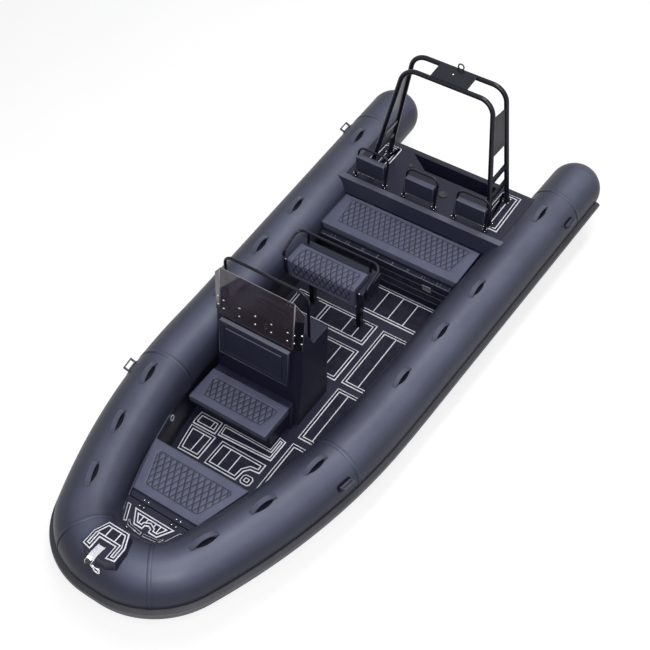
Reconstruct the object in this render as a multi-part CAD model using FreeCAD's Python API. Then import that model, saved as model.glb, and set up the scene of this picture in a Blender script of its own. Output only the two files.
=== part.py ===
import FreeCAD, Part
import math
import os

V = FreeCAD.Vector

# Rigid inflatable boat, 6.7 m. Millimetres. +X to the bow, +Y to port, +Z up.
# The origin lies on the waterline, on the centreline, near amidships.

os.makedirs("parts", exist_ok=True)

# ---- driving dimensions ------------------------------------------------------------------
fit = 0.3                    # gap between two mouldings that meet
glue_gap = 0.5               # thickness of the bond between a tube and what hugs it

tube_radius = 270.0
tube_axis_z = 480.0          # height of the tubes' axis over the water, aft
tube_end_x = -3030.0         # where the stern domes start
rise_x = 300.0               # where the tubes begin to rise
bend_x = 700.0               # where the sides begin to curve inwards
bend_y = 972.0               # half the beam between axes at bend_x
side_yaw = 2.0               # degrees that the aft tubes converge towards the bow
bow_pitch = 3.2              # degrees that the bow rises
corner_radius = 500.0
nose_run = 2365.0            # from bend_x to the axis of the tube across the nose
nose_half = 62.85            # half of the straight run across the nose

strake_reach = 52.0          # how far the rub strake stands out of the tube
strake_height = 110.0
strake_angle = -20.0         # degrees round the tube, down from its side

transom_x = -2400.0
transom_thickness = 45.0
transom_top_z = 692.0
keel_z = -310.0
floor_z = 100.0
floor_thickness = 25.0
shoulder_z = 470.0           # top of the hull moulding beside the tubes
wall_inset = tube_radius - 15    # from the tubes' axis in to the cockpit wall
deck_z = 700.0               # aft deck
bow_deck_z = 600.0

console_half = 462.0
console_front = 880.0        # the console's front face at the floor

rail_radius = 14.0
arch_radius = 25.0
hoop_radius = 12.5


# ---- small helpers -------------------------------------------------------------------------
def save(node, shape):
    shape.exportStep("parts/" + node + ".step")


def box(x0, x1, y0, y1, z0, z1):
    return Part.makeBox(x1 - x0, y1 - y0, z1 - z0, V(x0, y0, z0))


def mirrored(shape):
    return shape.mirror(V(0, 0, 0), V(0, 1, 0))


def both_sides(shape):
    return Part.makeCompound([shape, mirrored(shape)])


def one_solid(shapes):
    return shapes[0].fuse(shapes[1:]).removeSplitter()


def outward(solid):
    """The same solid with its faces turned outwards."""
    if solid.Volume < 0:
        solid.reverse()
    return solid


def side_profile(points, y0, y1):
    """Extrude an outline in X and Z from y0 to y1."""
    wire = Part.makePolygon([V(x, y0, z) for x, z in points + points[:1]])
    return Part.Face(wire).extrude(V(0, y1 - y0, 0))


def plan_profile(points, z0, z1):
    """Extrude an outline in X and Y from z0 to z1."""
    wire = Part.makePolygon([V(x, y, z0) for x, y in points + points[:1]])
    return Part.Face(wire).extrude(V(0, 0, z1 - z0))


def end_profile(points, x0, x1):
    """Extrude an outline in Y and Z from x0 to x1."""
    wire = Part.makePolygon([V(x0, y, z) for y, z in points + points[:1]])
    return Part.Face(wire).extrude(V(x1 - x0, 0, 0))


def bent_tube(points, bends, radius):
    """Round tube along straight runs joined by tangent arcs; bends are their radii."""
    points = [V(*p) for p in points]
    edges = []
    start = points[0]
    for corner, after, bend in zip(points[1:-1], points[2:], bends):
        run_in = (corner - start).normalize()
        run_out = (after - corner).normalize()
        turn = run_in.getAngle(run_out)
        cut = bend * math.tan(turn / 2)
        arc_start = corner - run_in * cut
        arc_end = corner + run_out * cut
        middle = (run_out - run_in).normalize()
        arc_middle = corner + middle * (bend / math.cos(turn / 2) - bend)
        edges.append(Part.LineSegment(start, arc_start).toShape())
        edges.append(Part.Arc(arc_start, arc_middle, arc_end).toShape())
        start = arc_end
    edges.append(Part.LineSegment(start, points[-1]).toShape())
    path = Part.Wire(edges)
    first = (points[1] - points[0]).normalize()
    profile = Part.Wire(Part.makeCircle(radius, points[0], first))
    return outward(path.makePipeShell([profile], True, False))


# ---- the line that the tubes follow ----------------------------------------------------------
# Port half, from the stern forward. Each frame is a point with its tangent, its outboard
# direction and its upward direction.
yaw = math.radians(side_yaw)
pitch = math.radians(bow_pitch)


def axis_y(x):
    """Half breadth of the tube axis where the sides are straight."""
    return bend_y + (bend_x - x) * math.tan(yaw)


def frame_at(point, tangent, outboard):
    return point, tangent, outboard, tangent.cross(outboard)


def turned(frame, centre, axis, degrees):
    spin = FreeCAD.Rotation(axis, degrees)
    point, tangent, outboard, up = frame
    moved = centre + spin.multVec(point - centre)
    return moved, spin.multVec(tangent), spin.multVec(outboard), spin.multVec(up)


stern_frame = frame_at(
    V(tube_end_x, axis_y(tube_end_x), tube_axis_z),
    V(math.cos(yaw), -math.sin(yaw), 0),
    V(math.sin(yaw), math.cos(yaw), 0))
side_length = (rise_x - tube_end_x) / math.cos(yaw)
rise_frame = frame_at(stern_frame[0] + stern_frame[1] * side_length, stern_frame[1], stern_frame[2])

# Upward arc, in the vertical plane of the straight side.
rise_degrees = math.degrees(math.asin(math.sin(pitch) * math.cos(yaw)))
rise_radius = (bend_x - rise_x) / math.radians(rise_degrees)
rise_centre = rise_frame[0] + rise_frame[3] * rise_radius
after_rise = turned(rise_frame, rise_centre, rise_frame[2] * -1, rise_degrees)

# Side and corner arcs, in the tilted plane of the bow, which holds the Y direction.
bow_up = after_rise[1].cross(V(0, 1, 0)).normalize()
bend_frame = frame_at(after_rise[0], after_rise[1], bow_up.cross(after_rise[1]))
bow_forward = V(0, 1, 0).cross(bow_up).normalize()
# The side arc has the one radius that runs tangent into the corner arc.
to_corner = nose_run - corner_radius
to_side = bend_frame[0].y - nose_half
heading_in = -bend_frame[1].y
heading_on = math.sqrt(1 - heading_in ** 2)
side_arc_radius = ((to_corner ** 2 + to_side ** 2 - corner_radius ** 2)
                   / (2 * (to_side * heading_on - to_corner * heading_in - corner_radius)))
side_centre = bend_frame[0] - bend_frame[2] * side_arc_radius
to_nose = to_corner - (side_centre - bend_frame[0]).dot(bow_forward)
corner_side = math.sqrt((side_arc_radius - corner_radius) ** 2 - to_nose ** 2)
start_heading = math.degrees(math.asin(heading_in))
end_heading = math.degrees(math.atan2(to_nose, corner_side))
side_degrees = end_heading - start_heading
corner_frame = turned(bend_frame, side_centre, bow_up * -1, side_degrees)
corner_centre = corner_frame[0] - corner_frame[2] * corner_radius
corner_degrees = 90.0 - end_heading
nose_frame = turned(corner_frame, corner_centre, bow_up * -1, corner_degrees)


def on_frame(frame, out, height):
    point, tangent, outboard, up = frame
    return point + outboard * out + up * height


def swept_side(face_at):
    """Sweep a section along the straight side and the upward arc."""
    run = face_at(stern_frame).extrude(stern_frame[1] * side_length)
    rise = face_at(rise_frame).revolve(rise_centre, rise_frame[2] * -1, rise_degrees)
    return run.fuse(rise)


def swept_bow(face_at):
    """Sweep a section along the side arc."""
    return face_at(bend_frame).revolve(side_centre, bow_up * -1, side_degrees)


def swept_nose(face_at):
    """Sweep a section round the corner and across the nose, and mirror it."""
    corner = face_at(corner_frame).revolve(corner_centre, bow_up * -1, corner_degrees)
    across = face_at(nose_frame).extrude(nose_frame[1] * nose_half)
    half = corner.fuse(across)
    return one_solid([half, mirrored(half)])


def round_section(radius):
    def face_at(frame):
        return Part.Face(Part.Wire(Part.makeCircle(radius, frame[0], frame[1])))
    return face_at


def stern_dome(radius):
    """Rounded stern end of a tube."""
    return Part.makeSphere(radius, stern_frame[0])


def side_chamber(radius):
    return one_solid([stern_dome(radius), swept_side(round_section(radius))])


def tube_frame(x):
    """Frame of the port tube's axis where it passes x, aft of the corner."""
    if x < rise_x:
        step = (x - stern_frame[0].x) / stern_frame[1].x
        return frame_at(stern_frame[0] + stern_frame[1] * step, stern_frame[1], stern_frame[2])
    if x < bend_x:
        share = (x - rise_x) / (bend_x - rise_x)
        return turned(rise_frame, rise_centre, rise_frame[2] * -1, rise_degrees * share)
    forward = (x - bend_frame[0].x) / bow_forward.x
    start = math.radians(start_heading)
    heading = math.asin(math.sin(start) + forward / side_arc_radius)
    return turned(bend_frame, side_centre, bow_up * -1, math.degrees(heading - start))


def tube_side(x):
    """Half breadth of the clear space between the tubes at x."""
    return tube_frame(x)[0].y - tube_radius / math.cos(yaw)


# The console stands as far to starboard as the tube allows.
console_clear = 7.0
console_y = console_half + console_clear - tube_side(console_front)

port_side = side_chamber(tube_radius)
port_bow = swept_bow(round_section(tube_radius))
save("port_side_tube", port_side)
save("starboard_side_tube", mirrored(port_side))
save("port_bow_tube", port_bow)
save("starboard_bow_tube", mirrored(port_bow))
save("nose_tube", swept_nose(round_section(tube_radius)))

# What hugs the tubes is cut to this envelope.
hug_radius = tube_radius + glue_gap
hug_side = swept_side(round_section(hug_radius))
hug_bow = swept_bow(round_section(hug_radius))
hug_tubes = [hug_side, mirrored(hug_side), hug_bow, mirrored(hug_bow),
             swept_nose(round_section(hug_radius))]


def hugging(shape):
    return shape.cut(hug_tubes)


# ---- rub strake: a ribbed rubber band round the outside -----------------------------------------
def strake_face(frame):
    """Section of the strake: an arc against the tube and two ribs with a groove between."""
    half = strake_height / 2
    inner = math.sqrt(hug_radius ** 2 - half ** 2)
    outer = tube_radius + strake_reach
    groove = outer - strake_reach * 0.3
    outline = [(inner, -half), (outer - 14, -half), (outer, -half * 0.7), (outer, -half * 0.25),
               (groove, 0), (outer, half * 0.25), (outer, half * 0.7), (outer - 14, half),
               (inner, half)]
    lean = math.radians(strake_angle)

    def at(out, height):
        return on_frame(frame, out * math.cos(lean) - height * math.sin(lean),
                        out * math.sin(lean) + height * math.cos(lean))

    corners = [at(out, height) for out, height in outline]
    back = Part.Arc(corners[-1], at(hug_radius, 0), corners[0]).toShape()
    return Part.Face(Part.Wire(Part.makePolygon(corners).Edges + [back]))


port_strake = one_solid([swept_side(strake_face), swept_bow(strake_face)])
nose_strake = swept_nose(strake_face)
save("rub_strake", one_solid([port_strake, nose_strake, mirrored(port_strake)]))


# ---- outlines that run parallel to the tubes, seen from above ------------------------------------
def plan_prism(inset, x0, x1, z0, z1):
    """Block between x0 and x1 whose sides lie inset from the tubes' axis."""
    def flat(frame):
        return V(frame[0].x, frame[0].y, z0) - V(frame[2].x, frame[2].y, 0).normalize() * inset
    half_side = turned(bend_frame, side_centre, bow_up * -1, side_degrees / 2)
    half_corner = turned(corner_frame, corner_centre, bow_up * -1, corner_degrees / 2)
    port = [flat(f) for f in (stern_frame, bend_frame, half_side, corner_frame, half_corner,
                              nose_frame)]
    star = [V(p.x, -p.y, p.z) for p in port]
    edges = [Part.LineSegment(port[0], port[1]).toShape(),
             Part.Arc(port[1], port[2], port[3]).toShape(),
             Part.Arc(port[3], port[4], port[5]).toShape(),
             Part.LineSegment(port[5], star[5]).toShape(),
             Part.Arc(star[5], star[4], star[3]).toShape(),
             Part.Arc(star[3], star[2], star[1]).toShape(),
             Part.LineSegment(star[1], star[0]).toShape(),
             Part.LineSegment(star[0], port[0]).toShape()]
    prism = Part.Face(Part.Wire(edges)).extrude(V(0, 0, z1 - z0))
    reach = 2000
    return prism.common(box(x0, x1, -reach, reach, z0, z1))


# ---- hull: deep V bottom with chines, and shoulders that cradle the tubes -------------------------
# x, keel height, half breadth at the chine, chine height, height of the knuckle as a share of
# the height from keel to chine (0.6 is a straight V, less is a fuller section)
hull_stations = [
    (transom_x, keel_z, 1020, 100, 0.60),
    (-800, keel_z - 15, 975, 104, 0.60),
    (600, keel_z - 15, 930, 112, 0.58),
    (1500, keel_z - 5, 850, 132, 0.48),
    (2000, keel_z + 45, 765, 165, 0.42),
    (2500, keel_z + 170, 580, 232, 0.40),
    (2900, keel_z + 390, 300, 305, 0.42),
    (3150, keel_z + 640, 60, 345, 0.50),
]
knuckle = 0.6                # half breadth at the knuckle as a share of that at the chine
chine_flat = 45.0            # width of the flat along the chine


def hull_section(x, keel, chine_y, chine_z, fullness):
    bottom_y = chine_y - min(chine_flat, chine_y / 2)
    port = [(0, keel), (bottom_y * knuckle, keel + (chine_z - keel) * fullness),
            (bottom_y, chine_z - 4), (chine_y, chine_z), (chine_y + 8, shoulder_z)]
    star = [(-y, z) for y, z in reversed(port[1:])]
    return Part.makePolygon([V(x, y, z) for y, z in port + star + port[:1]])


hull_block = Part.makeLoft([hull_section(*row) for row in hull_stations], True, True)
sole_z = floor_z - floor_thickness
bow_sole_z = 262.0           # the moulding is stepped up under the bow locker
bow_locker_x = 1935.0
cockpit_fore_x = 2760.0
hollow = plan_prism(wall_inset, transom_x - 1, bow_locker_x, sole_z, shoulder_z + 1)
bow_hollow = plan_prism(wall_inset, bow_locker_x - 1, cockpit_fore_x, bow_sole_z, shoulder_z + 1)
save("hull", hugging(hull_block.cut([hollow, bow_hollow])))

transom_outline = [(0, keel_z), (1020, 100), (1028, transom_top_z), (-1028, transom_top_z),
                   (-1020, 100)]
save("transom", hugging(end_profile(transom_outline, transom_x, transom_x - transom_thickness)))

# ---- floor, between the stern bench and the bow locker ------------------------------------------
bench_front_x = -1090.0
inner = wall_inset + fit
save("cockpit_floor", plan_prism(inner, bench_front_x, bow_locker_x, sole_z, floor_z))

# ---- aft deck with the engine well --------------------------------------------------------------
deck_fore_x = -1650.0
well_fore_x = -2205.0
well_aft_x = -2372.0
well_half = 560.0
well_z = 330.0
deck_low = plan_prism(inner, transom_x, deck_fore_x, sole_z, shoulder_z)
deck_high = plan_prism(110, transom_x, deck_fore_x, shoulder_z, deck_z)
well_plan = [(well_aft_x, well_half), (well_fore_x, well_half), (well_fore_x, -230),
             (well_aft_x, -455)]
well = plan_profile(well_plan, well_z, deck_z + 1)
save("aft_deck", hugging(one_solid([deck_low, deck_high]).cut(well)))

# Coaming across the boat, behind the bench: a sloping front face with a flat ledge.
coaming_half = 954.0
coaming_foot = 809.0
coaming_foot_x = -1572.0
coaming_ledge_x = -1636.0
bench_top_z = 505.0
coaming_outline = [(deck_fore_x + fit, deck_z + fit), (deck_fore_x + fit, bench_top_z + fit),
                   (coaming_foot_x, bench_top_z + fit), (coaming_foot_x, deck_z - 94),
                   (coaming_ledge_x, deck_z + 26), (-1700, deck_z + 30),
                   (-1704, deck_z + fit)]
coaming = side_profile(coaming_outline, -coaming_half, coaming_half)
slant = plan_profile([(-1720, coaming_half), (coaming_ledge_x, coaming_half),
                      (coaming_foot_x, coaming_foot), (coaming_foot_x, -coaming_foot),
                      (coaming_ledge_x, -coaming_half), (-1720, -coaming_half)],
                     bench_top_z, deck_z + 100)
save("aft_coaming", hugging(coaming.common(slant)))

# ---- stern bench ---------------------------------------------------------------------------------
bench_nose_x = -1020.0
lid_thickness = 14.0
bench_outline = [(deck_fore_x, sole_z), (bench_front_x, sole_z), (bench_front_x, floor_z + 60),
                 (bench_nose_x, 440), (bench_nose_x, bench_top_z), (deck_fore_x, bench_top_z)]
bench_block = side_profile(bench_outline, -1200, 1200)
bench_plan = plan_prism(inner, deck_fore_x, bench_nose_x, sole_z, bench_top_z)
locker_front_x = -1130.0
locker_back_x = -1560.0
locker_half = 680.0
locker = box(locker_back_x, locker_front_x, -locker_half, locker_half, 160, bench_top_z + 1)
save("bench_base", hugging(bench_block.common(bench_plan).cut(locker)))

lid_gap = 0.6                # clear height between a locker's rim and its lid
hinge_radius = 5.0
hinge_length = 90.0


def hinge_pair(x, z, y_middle, y_apart):
    """Two hinge barrels that lie across the boat."""
    return [Part.makeCylinder(hinge_radius, hinge_length,
                              V(x, y_middle + s * y_apart - hinge_length / 2, z), V(0, 1, 0))
            for s in (-1, 1)]


bench_pad_flare = 27.0       # the cushion widens towards its top, as the tubes fall away
bench_cushion_top = 600.0
bench_hinge_x = coaming_foot_x + hinge_radius + fit
bench_aft_x = bench_hinge_x + hinge_radius + 4
bench_fore_x = -1080.0
bench_half = tube_side(bench_fore_x) - 9
bench_pad_z = bench_top_z + lid_gap + lid_thickness
save("bench_hinges", Part.makeCompound(hinge_pair(bench_hinge_x, bench_cushion_top, 0, 500)))
save("bench_lid", box(bench_aft_x, bench_fore_x - 4, -bench_half, bench_half,
                      bench_top_z + lid_gap, bench_pad_z))
bench_pad_half = bench_half + bench_pad_flare
bench_pad_section = [(-bench_half, bench_pad_z), (bench_half, bench_pad_z),
                     (bench_pad_half, bench_cushion_top), (-bench_pad_half, bench_cushion_top)]
save("bench_cushion", end_profile(bench_pad_section, bench_aft_x, bench_fore_x))

# ---- bow locker ----------------------------------------------------------------------------------
bow_locker_fore_x = 2494.0
bow_rim_z = 545.0
bow_block = plan_prism(inner, bow_locker_x, bow_locker_fore_x, bow_sole_z, bow_rim_z)
bow_hole = plan_prism(inner + 90, bow_locker_x + 40, bow_locker_fore_x - 110,
                      bow_sole_z + 25, bow_rim_z + 1)
save("bow_locker", hugging(bow_block.cut(bow_hole)))
bow_lid_z = bow_rim_z + lid_gap
bow_pad_z = bow_lid_z + lid_thickness
bow_pad_fore_x = 2422.0
bow_lid_fore_x = bow_locker_fore_x - 10
bow_lid_half = tube_side(bow_locker_x) - 33     # at the lid's aft edge
bow_pad_half = tube_side(bow_pad_fore_x) - 40   # and at the cushion's fore edge
bow_pad_plan = [(bow_locker_x - 10, bow_lid_half), (bow_pad_fore_x, bow_pad_half),
                (bow_pad_fore_x, -bow_pad_half), (bow_locker_x - 10, -bow_lid_half)]
bow_shelf_plan = [(bow_pad_fore_x + 2, bow_pad_half), (bow_lid_fore_x, bow_pad_half - 20),
                  (bow_lid_fore_x, 20 - bow_pad_half), (bow_pad_fore_x + 2, -bow_pad_half)]
bow_shelf_z = bow_deck_z - 2
bow_lid = [plan_profile(bow_pad_plan, bow_lid_z, bow_pad_z),
           plan_profile(bow_shelf_plan, bow_lid_z, bow_shelf_z),
           box(bow_pad_fore_x - 10, bow_pad_fore_x + 10, -bow_pad_half, bow_pad_half,
               bow_lid_z, bow_pad_z)]
save("bow_locker_lid", one_solid(bow_lid))
save("bow_cushion", plan_profile(bow_pad_plan, bow_pad_z, 621))
bow_hinge_x = bow_locker_fore_x - 4
bow_hinge_z = bow_deck_z + hinge_radius + fit
hinge_leaf = 3.0
bow_hinges = []
for barrel, y in zip(hinge_pair(bow_hinge_x, bow_hinge_z, 0, 167), (-167.0, 167.0)):
    leaf = box(bow_hinge_x, bow_locker_fore_x + 40, y - hinge_length / 2, y + hinge_length / 2,
               bow_deck_z + fit, bow_deck_z + fit + hinge_leaf)
    bow_hinges.append(one_solid([barrel, leaf]))
save("bow_hinges", Part.makeCompound(bow_hinges))

# ---- bow deck --------------------------------------------------------------------------------------
bow_deck_low = plan_prism(inner, bow_locker_fore_x, cockpit_fore_x, bow_sole_z, shoulder_z)
bow_deck_high = plan_prism(250, bow_locker_fore_x, cockpit_fore_x + 60, shoulder_z, bow_deck_z)
save("bow_deck", hugging(one_solid([bow_deck_low, bow_deck_high])))

# Step pad on top of the nose.
nose_x = nose_frame[0].x
nose_top = nose_frame[0].z + tube_radius
step_top = nose_top + 84
step_plan = [(nose_x - 140, 106), (nose_x - 12, 164), (nose_x + 124, 166), (nose_x + 160, 80),
             (nose_x + 160, -80), (nose_x + 124, -166), (nose_x - 12, -164), (nose_x - 140, -106)]
save("bow_step", hugging(plan_profile(step_plan, nose_top - 120, step_top)))

# Anchor roller channel in stainless plate on the step, and the roller between its cheeks.
channel_half = 33.0
channel_wall = 4.0
channel_aft_x = nose_x + 66
channel_bend_x = nose_x + 162
channel_fore_x = nose_x + 244
channel_z = step_top + fit
channel_floor = side_profile([(channel_aft_x, channel_z), (channel_bend_x, channel_z),
                              (channel_fore_x - 40, channel_z - 14),
                              (channel_fore_x - 40, channel_z - 8),
                              (channel_bend_x, channel_z + 6), (channel_aft_x, channel_z + 6)],
                             -channel_half, channel_half)
cheek_outline = [(channel_aft_x, channel_z), (channel_bend_x, channel_z),
                 (channel_fore_x - 40, channel_z - 14), (channel_fore_x, channel_z - 12),
                 (channel_fore_x, channel_z + 28), (channel_bend_x, channel_z + 44),
                 (channel_aft_x, channel_z + 26)]
port_cheek = side_profile(cheek_outline, channel_half - channel_wall, channel_half)
roller_x = channel_fore_x - 20
roller_z = channel_z + 8
pin_radius = 5.0
roller_pin = Part.makeCylinder(pin_radius, 2 * channel_half, V(roller_x, -channel_half, roller_z),
                               V(0, 1, 0))
save("roller_channel", one_solid([channel_floor, port_cheek, mirrored(port_cheek), roller_pin]))
roller_half = channel_half - channel_wall - 2
roller = Part.makeCylinder(19, 2 * roller_half, V(roller_x, -roller_half, roller_z), V(0, 1, 0))
waist = Part.makeTorus(26, 14, V(roller_x, 0, roller_z), V(0, 1, 0))
bore = Part.makeCylinder(pin_radius + 0.1, 200, V(roller_x, -100, roller_z), V(0, 1, 0))
save("anchor_roller", roller.cut(waist).cut(bore))

# ---- console -------------------------------------------------------------------------------------
front_lean = 0.1067          # how much the front face falls back for each unit of height
fascia_z = 1285.0            # top of the upstand behind the screen
shelf_z = 1005.0
console_aft_x = 330.0
chamfer_y = 75.0
chamfer_x = 40.0
dash_low_x = 560.0
dash_high_x = 700.0


def console_front_x(z):
    return console_front - front_lean * (z - floor_z)


def console_plan(z):
    """Outline at height z, with its front corners cut off."""
    front = console_front_x(z)
    port = [(front, console_half - chamfer_y), (front - chamfer_x, console_half),
            (console_aft_x - 50, console_half)]
    ring = [V(x, console_y + y, z) for x, y in port]
    ring += [V(x, console_y - y, z) for x, y in reversed(port)]
    return Part.makePolygon(ring + ring[:1])


console_block = Part.makeLoft([console_plan(floor_z), console_plan(fascia_z)], True, True)
console_outline = [(console_front + 50, floor_z), (console_front + 50, fascia_z),
                   (dash_high_x, fascia_z), (dash_low_x, shelf_z), (console_aft_x, shelf_z),
                   (console_aft_x + 30, floor_z)]
console = console_block.common(side_profile(console_outline, console_y - console_half - 1,
                                            console_y + console_half + 1))
save("console", console)

# Padded backrest on the console's front face.
pad_half = 375.0
pad_thickness = 48.0
pad_low_z = 650.0
pad_high_z = 1053.0


def front_plate(z0, z1, off, thickness, half):
    """Plate that lies off the console's front face."""
    points = [(console_front_x(z0) + off, z0), (console_front_x(z1) + off, z1),
              (console_front_x(z1) + off + thickness, z1),
              (console_front_x(z0) + off + thickness, z0)]
    return side_profile(points, console_y - half, console_y + half)


save("console_backrest", front_plate(pad_low_z, pad_high_z, fit, pad_thickness, pad_half))

# Windscreen: one smoked sheet, folded at the two corners.
glass = 6.0
glass_low_z = 1075.0
glass_top_z = 1621.0
wing_low_half = console_half
wing_top_half = 479.0
glass_off = 1.0              # clear of the console's front face
glass_fold = console_half - chamfer_y
wing_drop = 130.0            # that the top edge falls from each fold to its outer corner


def glass_ring(z, wing_half):
    front = console_front_x(z) + glass_off
    inside = [(front - chamfer_x, wing_half), (front, glass_fold), (front, -glass_fold),
              (front - chamfer_x, -wing_half)]
    outside = [(x + glass, y) for x, y in reversed(inside)]
    ring = [V(x, console_y + y, z) for x, y in inside + outside]
    return Part.makePolygon(ring + ring[:1])


windscreen = Part.makeLoft([glass_ring(glass_low_z, wing_low_half),
                            glass_ring(glass_top_z, wing_top_half)], True, True)
for side in (-1, 1):
    trim = [(console_y + side * glass_fold, glass_top_z),
            (console_y + side * glass_fold, glass_top_z + 20),
            (console_y + side * (wing_top_half + 10), glass_top_z + 20),
            (console_y + side * wing_top_half, glass_top_z - wing_drop)]
    windscreen = windscreen.cut(end_profile(trim, console_front - 250, console_front))
save("windscreen", windscreen)

# Grab rail round the screen.
rail_half = console_half - 24
rail_top_z = 1631.0
rail_x = 590.0
screen_rail = bent_tube([(rail_x + 10, console_y - rail_half, shelf_z + 80),
                         (rail_x, console_y - rail_half, rail_top_z),
                         (rail_x, console_y + rail_half, rail_top_z),
                         (rail_x + 10, console_y + rail_half, shelf_z + 80)], [95, 95], rail_radius)
save("screen_rail", screen_rail.cut(console))

# Steering wheel on the sloping dash.
dash_low = V(dash_low_x, console_y, shelf_z)
dash_high = V(dash_high_x, console_y, fascia_z)
dash_along = (dash_high - dash_low).normalize()
dash_out = V(-dash_along.z, 0, dash_along.x)
wheel_radius = 165.0
wheel_off = 105.0
wheel_seat = dash_low + dash_along * 150
wheel_centre = wheel_seat + dash_out * wheel_off
rim = Part.makeTorus(wheel_radius, 13, wheel_centre, dash_out)
hub = Part.makeCylinder(34, 40, wheel_centre - dash_out * 25, dash_out)
shaft = Part.makeCylinder(14, wheel_off - 20 - fit, wheel_seat + dash_out * fit, dash_out)
spokes = []
for angle in (90, 210, 330):
    spin = FreeCAD.Rotation(dash_out, angle)
    arm = spin.multVec(dash_along)
    spoke = Part.makeCylinder(9, wheel_radius, wheel_centre, arm)
    spokes.append(spoke)
save("steering_wheel", one_solid([rim, hub, shaft] + spokes))

# ---- seat in front of the console ------------------------------------------------------------------
seat_front_x = 1305.0
seat_back_x = 926.0
seat_clear = 9.5             # between the seat and the tube beside it
seat_port_y = console_y + 430
seat_starboard_y = seat_clear - tube_side(seat_front_x)
seat_y = (seat_port_y + seat_starboard_y) / 2
seat_half = (seat_port_y - seat_starboard_y) / 2
seat_toe = 114.0             # how far the seat overhangs its base
seat_rim_z = 350.0
seat_top_z = 432.0
seat_wall = 40.0
seat_hinge_x = seat_back_x - hinge_radius - 4
upstand_z = seat_top_z - 6
seat_block = box(seat_back_x - 10, seat_front_x - seat_toe, seat_y - seat_half + seat_wall,
                 seat_y + seat_half - seat_wall, floor_z, seat_rim_z)
seat_hole = box(seat_back_x + 30, seat_front_x - seat_toe - seat_wall,
                seat_y - seat_half + 2 * seat_wall, seat_y + seat_half - 2 * seat_wall,
                floor_z + seat_wall, seat_rim_z + 1)
upstand = side_profile([(console_front_x(floor_z) + fit, floor_z), (seat_back_x - 5, floor_z),
                        (seat_back_x - 5, upstand_z), (console_front_x(upstand_z) + fit, upstand_z)],
                       seat_y - seat_half, seat_y + seat_half)
save("front_seat_base", one_solid([seat_block, upstand]).cut(seat_hole))
save("front_seat_hinges", Part.makeCompound(
    hinge_pair(seat_hinge_x, upstand_z + hinge_radius + fit, seat_y, 260)))
seat_lid_z = seat_rim_z + lid_gap
seat_pad_z = seat_lid_z + lid_thickness
save("front_seat_lid", box(seat_back_x, seat_front_x, seat_y - seat_half, seat_y + seat_half,
                           seat_lid_z, seat_pad_z))
save("front_seat_cushion", box(seat_back_x, seat_front_x, seat_y - seat_half,
                               seat_y + seat_half, seat_pad_z, seat_top_z))

# ---- helm seat: a moulding raised on two posts, open below ---------------------------------------
helm_aft_x = -600.0
helm_fore_x = -262.0
helm_half = 450.0
helm_low_z = 640.0
helm_top_z = 850.0
helm_pan_z = 800.0           # the cushion is let into the moulding
helm_pad_aft_x = -492.0
helm_pad_half = 375.0
helm_face_x = -300.0         # front of the moulding, behind the cushion's flap
helm_outline = [(helm_aft_x + 45, helm_low_z), (helm_fore_x - 12, helm_low_z),
                (helm_fore_x, helm_top_z), (helm_aft_x, helm_top_z)]
helm_shell = side_profile(helm_outline, console_y - helm_half, console_y + helm_half)
helm_recess = [(helm_pad_aft_x - 2, helm_top_z + 1), (helm_pad_aft_x - 2, helm_pan_z),
               (helm_face_x, helm_pan_z), (helm_face_x, helm_low_z - 1), (0, helm_low_z - 1),
               (0, helm_top_z + 1)]
save("helm_seat_base", helm_shell.cut(side_profile(helm_recess, console_y - helm_pad_half - 2,
                                                   console_y + helm_pad_half + 2)))
helm_pad_front_x = -236.0
helm_pad_top_z = 900.0
helm_pad = [(helm_pad_aft_x, helm_pan_z + fit), (helm_face_x + fit, helm_pan_z + fit),
            (helm_face_x + fit, helm_low_z + 12), (helm_pad_front_x - 10, helm_low_z + 12),
            (helm_pad_front_x, helm_pad_top_z - 20), (helm_pad_front_x - 22, helm_pad_top_z),
            (helm_pad_aft_x + 8, helm_pad_top_z), (helm_pad_aft_x, helm_pad_top_z - 15)]
save("helm_cushion", side_profile(helm_pad, console_y - helm_pad_half, console_y + helm_pad_half))

post_x = -509.0
post_off = 275.0
post_size = 52.0
foot_size = 96.0
posts = []
for y in (console_y - post_off, console_y + post_off):
    post = box(post_x - post_size / 2, post_x + post_size / 2, y - post_size / 2,
               y + post_size / 2, floor_z + fit, helm_low_z - fit)
    foot = box(post_x - foot_size / 2, post_x + foot_size / 2, y - foot_size / 2,
               y + foot_size / 2, floor_z + fit, floor_z + 8)
    posts.append(one_solid([post, foot]))
save("helm_seat_posts", Part.makeCompound(posts))

helm_rail_y = helm_half + rail_radius + fit
helm_rail_x = -562.0
helm_rail_z = 985.0
stanchion_y = 350.0
helm_rail = bent_tube([(-345, console_y - helm_rail_y, 730),
                       (-288, console_y - helm_rail_y, 888),
                       (helm_rail_x, console_y - helm_rail_y, helm_rail_z),
                       (helm_rail_x, console_y + helm_rail_y, helm_rail_z),
                       (-288, console_y + helm_rail_y, 888),
                       (-345, console_y + helm_rail_y, 730)], [60, 80, 80, 60], rail_radius)
stanchions = [Part.makeCylinder(rail_radius, helm_rail_z - helm_top_z - fit,
                                V(helm_rail_x, console_y + y, helm_top_z + fit))
              for y in (-stanchion_y, stanchion_y)]
save("helm_rail", one_solid([helm_rail] + stanchions))

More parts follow.
